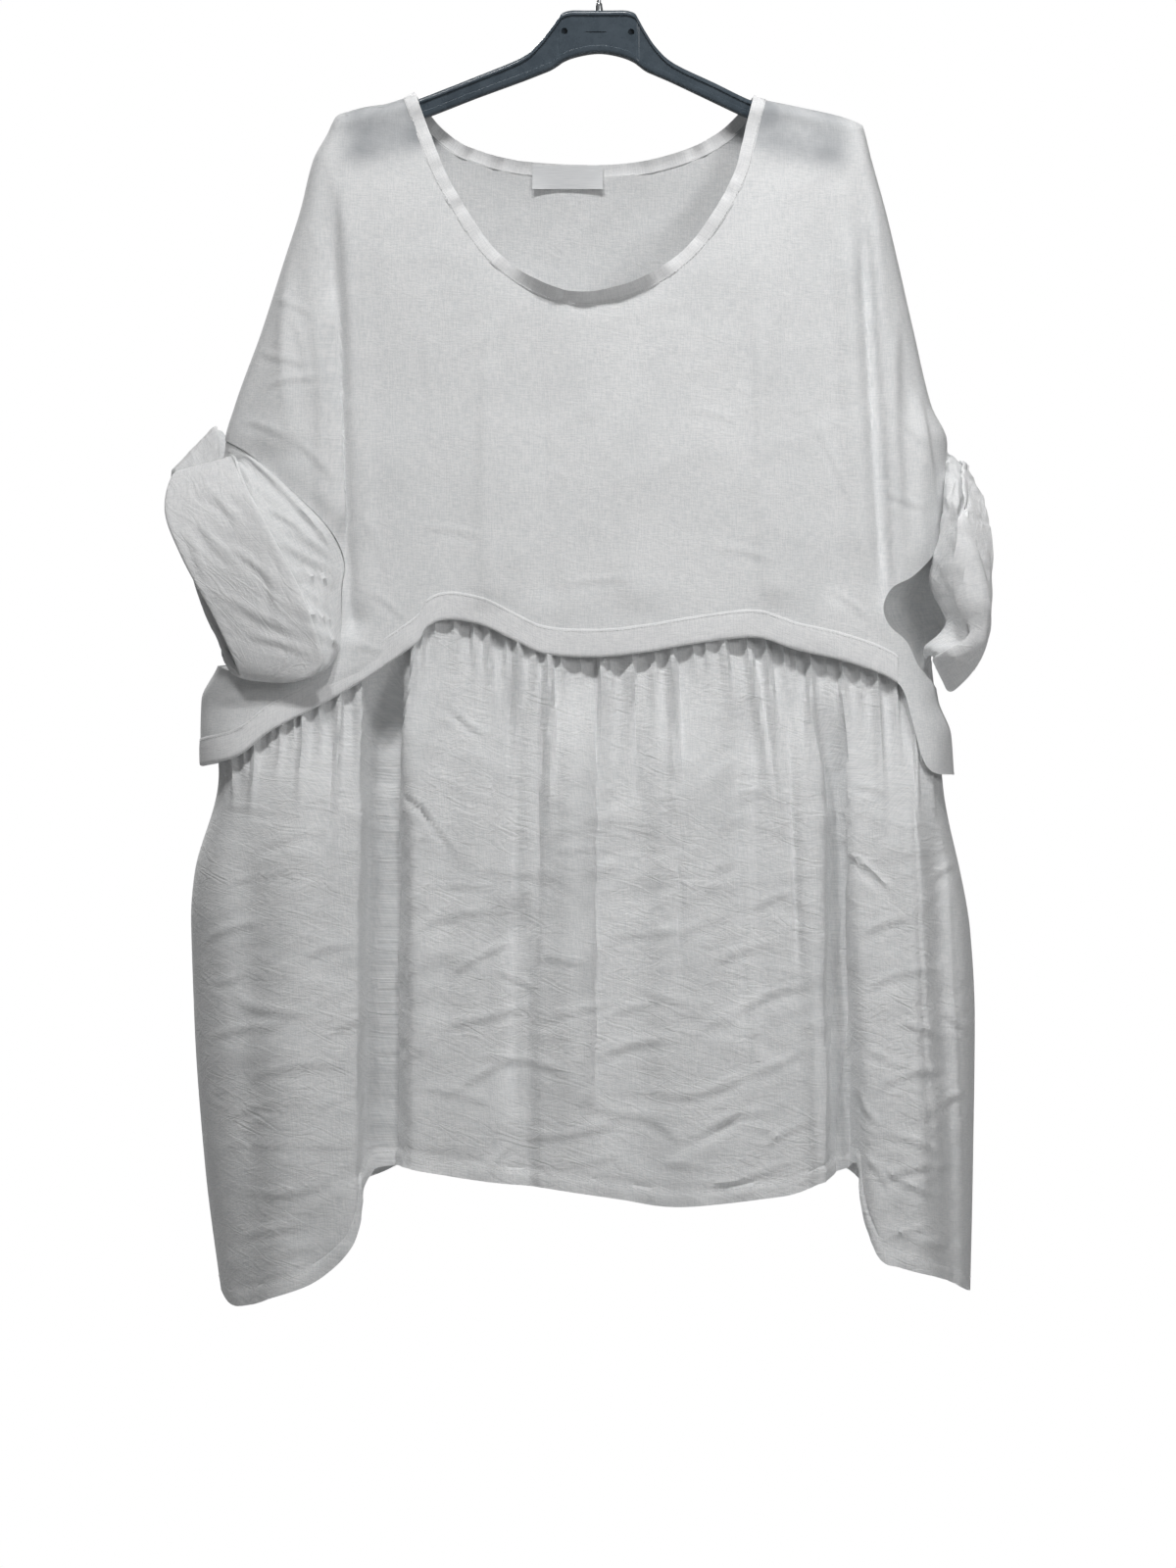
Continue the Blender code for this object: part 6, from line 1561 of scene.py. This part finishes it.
class TunicSizes(PropertyGroup):
    """Sizes of the cloth and its sewing."""

    cloth: length("Cloth thickness", "Thickness of the single cloth", 0.0008, 0.0003, 0.0012)
    stitch: length("Stitch length", "Length of thread that shows", 0.0024, 0.001, 0.006)
    step: length("Stitch step", "From one stitch to the next", 0.0032, 0.0015, 0.008)
    thread: length("Thread thickness", "Thickness of the sewing thread", 0.0005, 0.0002, 0.001)


class TunicStudio(PropertyGroup):
    """Light and floor."""

    key: power("Key light", "Power of each of the two lamps above", 3.15)
    fill: power("Fill light", "Power of the soft light at the right", 7.5)
    back: power("Back light", "Power of the soft light behind", 45.0)
    ambient: FloatProperty(name="Room light", description="Strength of the light all round",
                           default=0.13, min=0.0)
    floor: length("Floor", "How far the floor lies under the hook", 1.75, 1.2, 10.0)


class TUNIC_OT_bodice(Operator):
    """Make the two bodice panels and the doubled bands along their free hems."""

    bl_idname = "tunic.bodice"
    bl_label = "Bodice"

    def execute(self, context):
        thick = context.scene.tunic_sizes.cloth / MM
        linen, doubled = linens(context.scene.tunic_finish)
        for side, word in SIDES:
            points, faces, normals, _, cloth = bodice_panel(side)
            panel = wall(f"{word}_bodice_linen", points, faces, normals, thick, linen, cloth,
                         BODICE_CRUMPLED, True)
            *surface, cloth = hem_band(side)
            strip = wall(f"{word}_hem_band_linen", *surface, thick, doubled, cloth,
                         BODICE_CRUMPLED)
            declared(panel, f"{word}_bodice")
            declared(strip, f"{word}_hem_band")
        return {"FINISHED"}


class TUNIC_OT_skirt(Operator):
    """Make the two skirt panels, gathered into the seam behind the bodice's hem."""

    bl_idname = "tunic.skirt"
    bl_label = "Skirt"

    def execute(self, context):
        thick = context.scene.tunic_sizes.cloth / MM
        linen = linens(context.scene.tunic_finish)[0]
        for side, word in SIDES:
            points, faces, normals, cloth, _ = skirt_panel(side)
            panel = wall(f"{word}_skirt_linen", points, faces, normals, thick, linen, cloth,
                         SKIRT_CRUMPLED)
            declared(panel, f"{word}_skirt")
        return {"FINISHED"}


class TUNIC_OT_sleeves(Operator):
    """Make the two short sleeves and their turned-up cuffs."""

    bl_idname = "tunic.sleeves"
    bl_label = "Sleeves"

    def execute(self, context):
        thick = context.scene.tunic_sizes.cloth / MM
        linen, doubled = linens(context.scene.tunic_finish)
        for left, word in ((True, "left"), (False, "right")):
            for kind, look, slot, made in zip(("sleeve", "cuff"), (linen, doubled),
                                              ("washed_linen", "doubled_linen"),
                                              sleeve_parts(left)):
                points, faces, normals, cloth, round_all, around = made
                tube = wall(f"{word}_{kind}_linen", points, faces, normals, thick, look, cloth,
                            SLEEVE_CRUMPLED, wrap=(around, round_all))
                declared(tube, f"{word}_{kind}")
        return {"FINISHED"}


class TUNIC_OT_neck(Operator):
    """Make the neck's binding and the bare label inside its back."""

    bl_idname = "tunic.neck"
    bl_label = "Neck"

    def execute(self, context):
        doubled = linens(context.scene.tunic_finish)[1]
        ring, normals = neck_ring()
        rows = binding_rows(ring, normals)
        points = np.concatenate(rows)
        faces = grid_faces(len(rows), len(ring), closed=True)
        if np.sum(surface_normals(points, faces)[: len(ring)] * normals) < 0:
            faces = faces[:, ::-1]
        cloth, round_all = tube_cloth(rows)
        strip = wall("neck_binding_linen", points, faces, np.tile(normals, (len(rows), 1)),
                     BINDING_THICK * 0.75, doubled, cloth, wrap=(len(ring), round_all))
        declared(strip, "neck_binding")
        x_from, x_to, z_top, z_low = LABEL
        x, z = np.meshgrid(np.linspace(x_from, x_to, LABEL_COLUMNS),
                           np.linspace(z_low, z_top, LABEL_ROWS))
        y = bodice(x, z, BACK) - BINDING_THICK / 2 - SEAM_GAP - LABEL_THICK
        away = (x - (x_from + x_to) / 2) / (x_to - x_from) * 2
        y -= LABEL_CURL * away**2 * ((z_top - z) / (z_top - z_low)) ** 2
        points = np.stack([x, y, z], axis=-1).reshape(-1, 3)
        faces = grid_faces(LABEL_ROWS, LABEL_COLUMNS)
        bare = wall("neck_label_satin", points, faces, surface_normals(points, faces),
                    LABEL_THICK, satin_look())
        declared(bare, "neck_label")
        return {"FINISHED"}


class TUNIC_OT_hanger(Operator):
    """Make the hanger's moulded body, with its two round holes, and its steel hook."""

    bl_idname = "tunic.hanger"
    bl_label = "Hanger"

    def execute(self, context):
        plastic = plastic_look(context.scene.tunic_finish)
        body = closed_loft("hanger_body_moulded", hanger_rings(), plastic)
        turn = np.linspace(0, 2 * math.pi, HOLE_SIDES, endpoint=False)
        cutters = []
        for x, z, across, tall, deep in HANGER_HOLES:
            rings = []
            for part, wide in HOLE_SECTION:
                y = (deep + HOLE_START) * part - HANGER_FRONT - HOLE_START
                rings.append(np.stack([x + across * wide * np.cos(turn), np.full(HOLE_SIDES, y),
                                       z + tall * wide * np.sin(turn)], axis=1))
            cutters.append(closed_loft(f"cutter_{len(cutters)}", rings, plastic))
        cut_from(body, cutters)
        wire = closed_loft("hanger_hook_wire", hook_rings(), steel_look())
        for piece, node, slot in ((body, "hanger_body", "hanger_plastic"),
                                  (wire, "hanger_hook", "plated_steel")):
            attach(piece, BODY_NAME)
            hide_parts(node)
        return {"FINISHED"}


class TUNIC_OT_stitches(Operator):
    """Sew the topstitching of the neck, the hems and the cuffs."""

    bl_idname = "tunic.stitches"
    bl_label = "Stitches"

    def execute(self, context):
        sizes = context.scene.tunic_sizes
        holder = wire_object("topstitching", stitch_lines())
        thread = thread_look(context.scene.tunic_finish)
        grown(holder, stitch_tree(), {
            "Stitch Length": sizes.stitch, "Stitch Step": sizes.step,
            "Thread Thickness": sizes.thread, "Thread": thread, "Seed": STITCH_SEED})
        if not holder.data.polygons:
            raise RuntimeError("the seam lines gave no stitches")
        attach(holder, BODY_NAME)
        return {"FINISHED"}


class TUNIC_OT_stage(Operator):
    """Set up the pale floor, the lights, the white room and the camera."""

    bl_idname = "tunic.stage"
    bl_label = "Studio"

    def execute(self, context):
        studio = context.scene.tunic_studio
        bpy.ops.mesh.primitive_plane_add(size=1.0)
        floor = context.object
        floor.name = "studio_floor"
        for corner in floor.data.vertices:
            corner.co = (corner.co.x * FLOOR_WIDE, corner.co.y * FLOOR_DEEP + FLOOR_Y,
                         -studio.floor)
        floor.data.materials.append(board_look())
        for name, power, size, spread, place_at, aim in LAMPS:
            data = bpy.data.lights.new(name, "AREA")
            data.energy, data.size = getattr(studio, power), size
            data.spread = math.radians(spread)
            light = bpy.data.objects.new(name, data)
            light.location = place_at
            turned = (Vector(aim) - Vector(place_at)).to_track_quat("-Z", "Y")
            light.rotation_euler = turned.to_euler()
            context.collection.objects.link(light)
        world = bpy.data.worlds.new("studio_room")
        world.use_nodes = True
        tree = world.node_tree
        tree.nodes.clear()
        room, seen = (add_node(tree, "ShaderNodeBackground", {
            "Color": (1, 1, 1, 1), "Strength": strong}).outputs[0]
            for strong in (studio.ambient, 1.0))
        ray = add_node(tree, "ShaderNodeLightPath").outputs["Is Camera Ray"]
        both = add_node(tree, "ShaderNodeMixShader", {0: ray, 1: room, 2: seen})
        add_node(tree, "ShaderNodeOutputWorld", {"Surface": both.outputs[0]})
        context.scene.world = world
        context.scene.view_settings.view_transform = "Standard"
        data = bpy.data.cameras.new("camera")
        data.sensor_fit = "VERTICAL"
        data.sensor_height = SENSOR_TALL
        data.lens = SENSOR_TALL * CAMERA_AWAY / FRAME_TALL
        data.clip_end = 50.0
        camera = bpy.data.objects.new("camera", data)
        camera.location = (CAMERA_X, -CAMERA_AWAY, CAMERA_Z)
        camera.rotation_euler = (math.pi / 2, 0.0, 0.0)
        context.collection.objects.link(camera)
        context.scene.camera = camera
        return {"FINISHED"}


STEPS = (TUNIC_OT_bodice, TUNIC_OT_skirt, TUNIC_OT_sleeves, TUNIC_OT_neck, TUNIC_OT_hanger,
         TUNIC_OT_stitches, TUNIC_OT_stage)


class TUNIC_PT_sidebar(Panel):
    """The pieces, in the order they are made, and the values they are made from."""

    bl_idname = "TUNIC_PT_sidebar"
    bl_label = "Tunic on a Hanger"
    bl_space_type = "VIEW_3D"
    bl_region_type = "UI"
    bl_category = "Tunic"

    def draw(self, context):
        for step in STEPS:
            self.layout.operator(step.bl_idname)
        for group in ("tunic_finish", "tunic_sizes", "tunic_studio"):
            box = self.layout.box()
            values = getattr(context.scene, group)
            for name in values.__annotations__:
                box.prop(values, name)


GROUPS = (("tunic_finish", TunicFinish), ("tunic_sizes", TunicSizes),
          ("tunic_studio", TunicStudio))


def register():
    for _, group in GROUPS:
        bpy.utils.register_class(group)
    for step in (*STEPS, TUNIC_PT_sidebar):
        bpy.utils.register_class(step)
    for name, group in GROUPS:
        setattr(bpy.types.Scene, name, PointerProperty(type=group))


def unregister():
    for name, _ in GROUPS:
        delattr(bpy.types.Scene, name)
    for step in (TUNIC_PT_sidebar, *reversed(STEPS)):
        bpy.utils.unregister_class(step)
    for _, group in reversed(GROUPS):
        bpy.utils.unregister_class(group)


def main():
    register()
    for step in STEPS:
        space, word = step.bl_idname.split(".")
        getattr(getattr(bpy.ops, space), word)()
    bpy.context.view_layer.update()


if __name__ == "__main__":
    main()
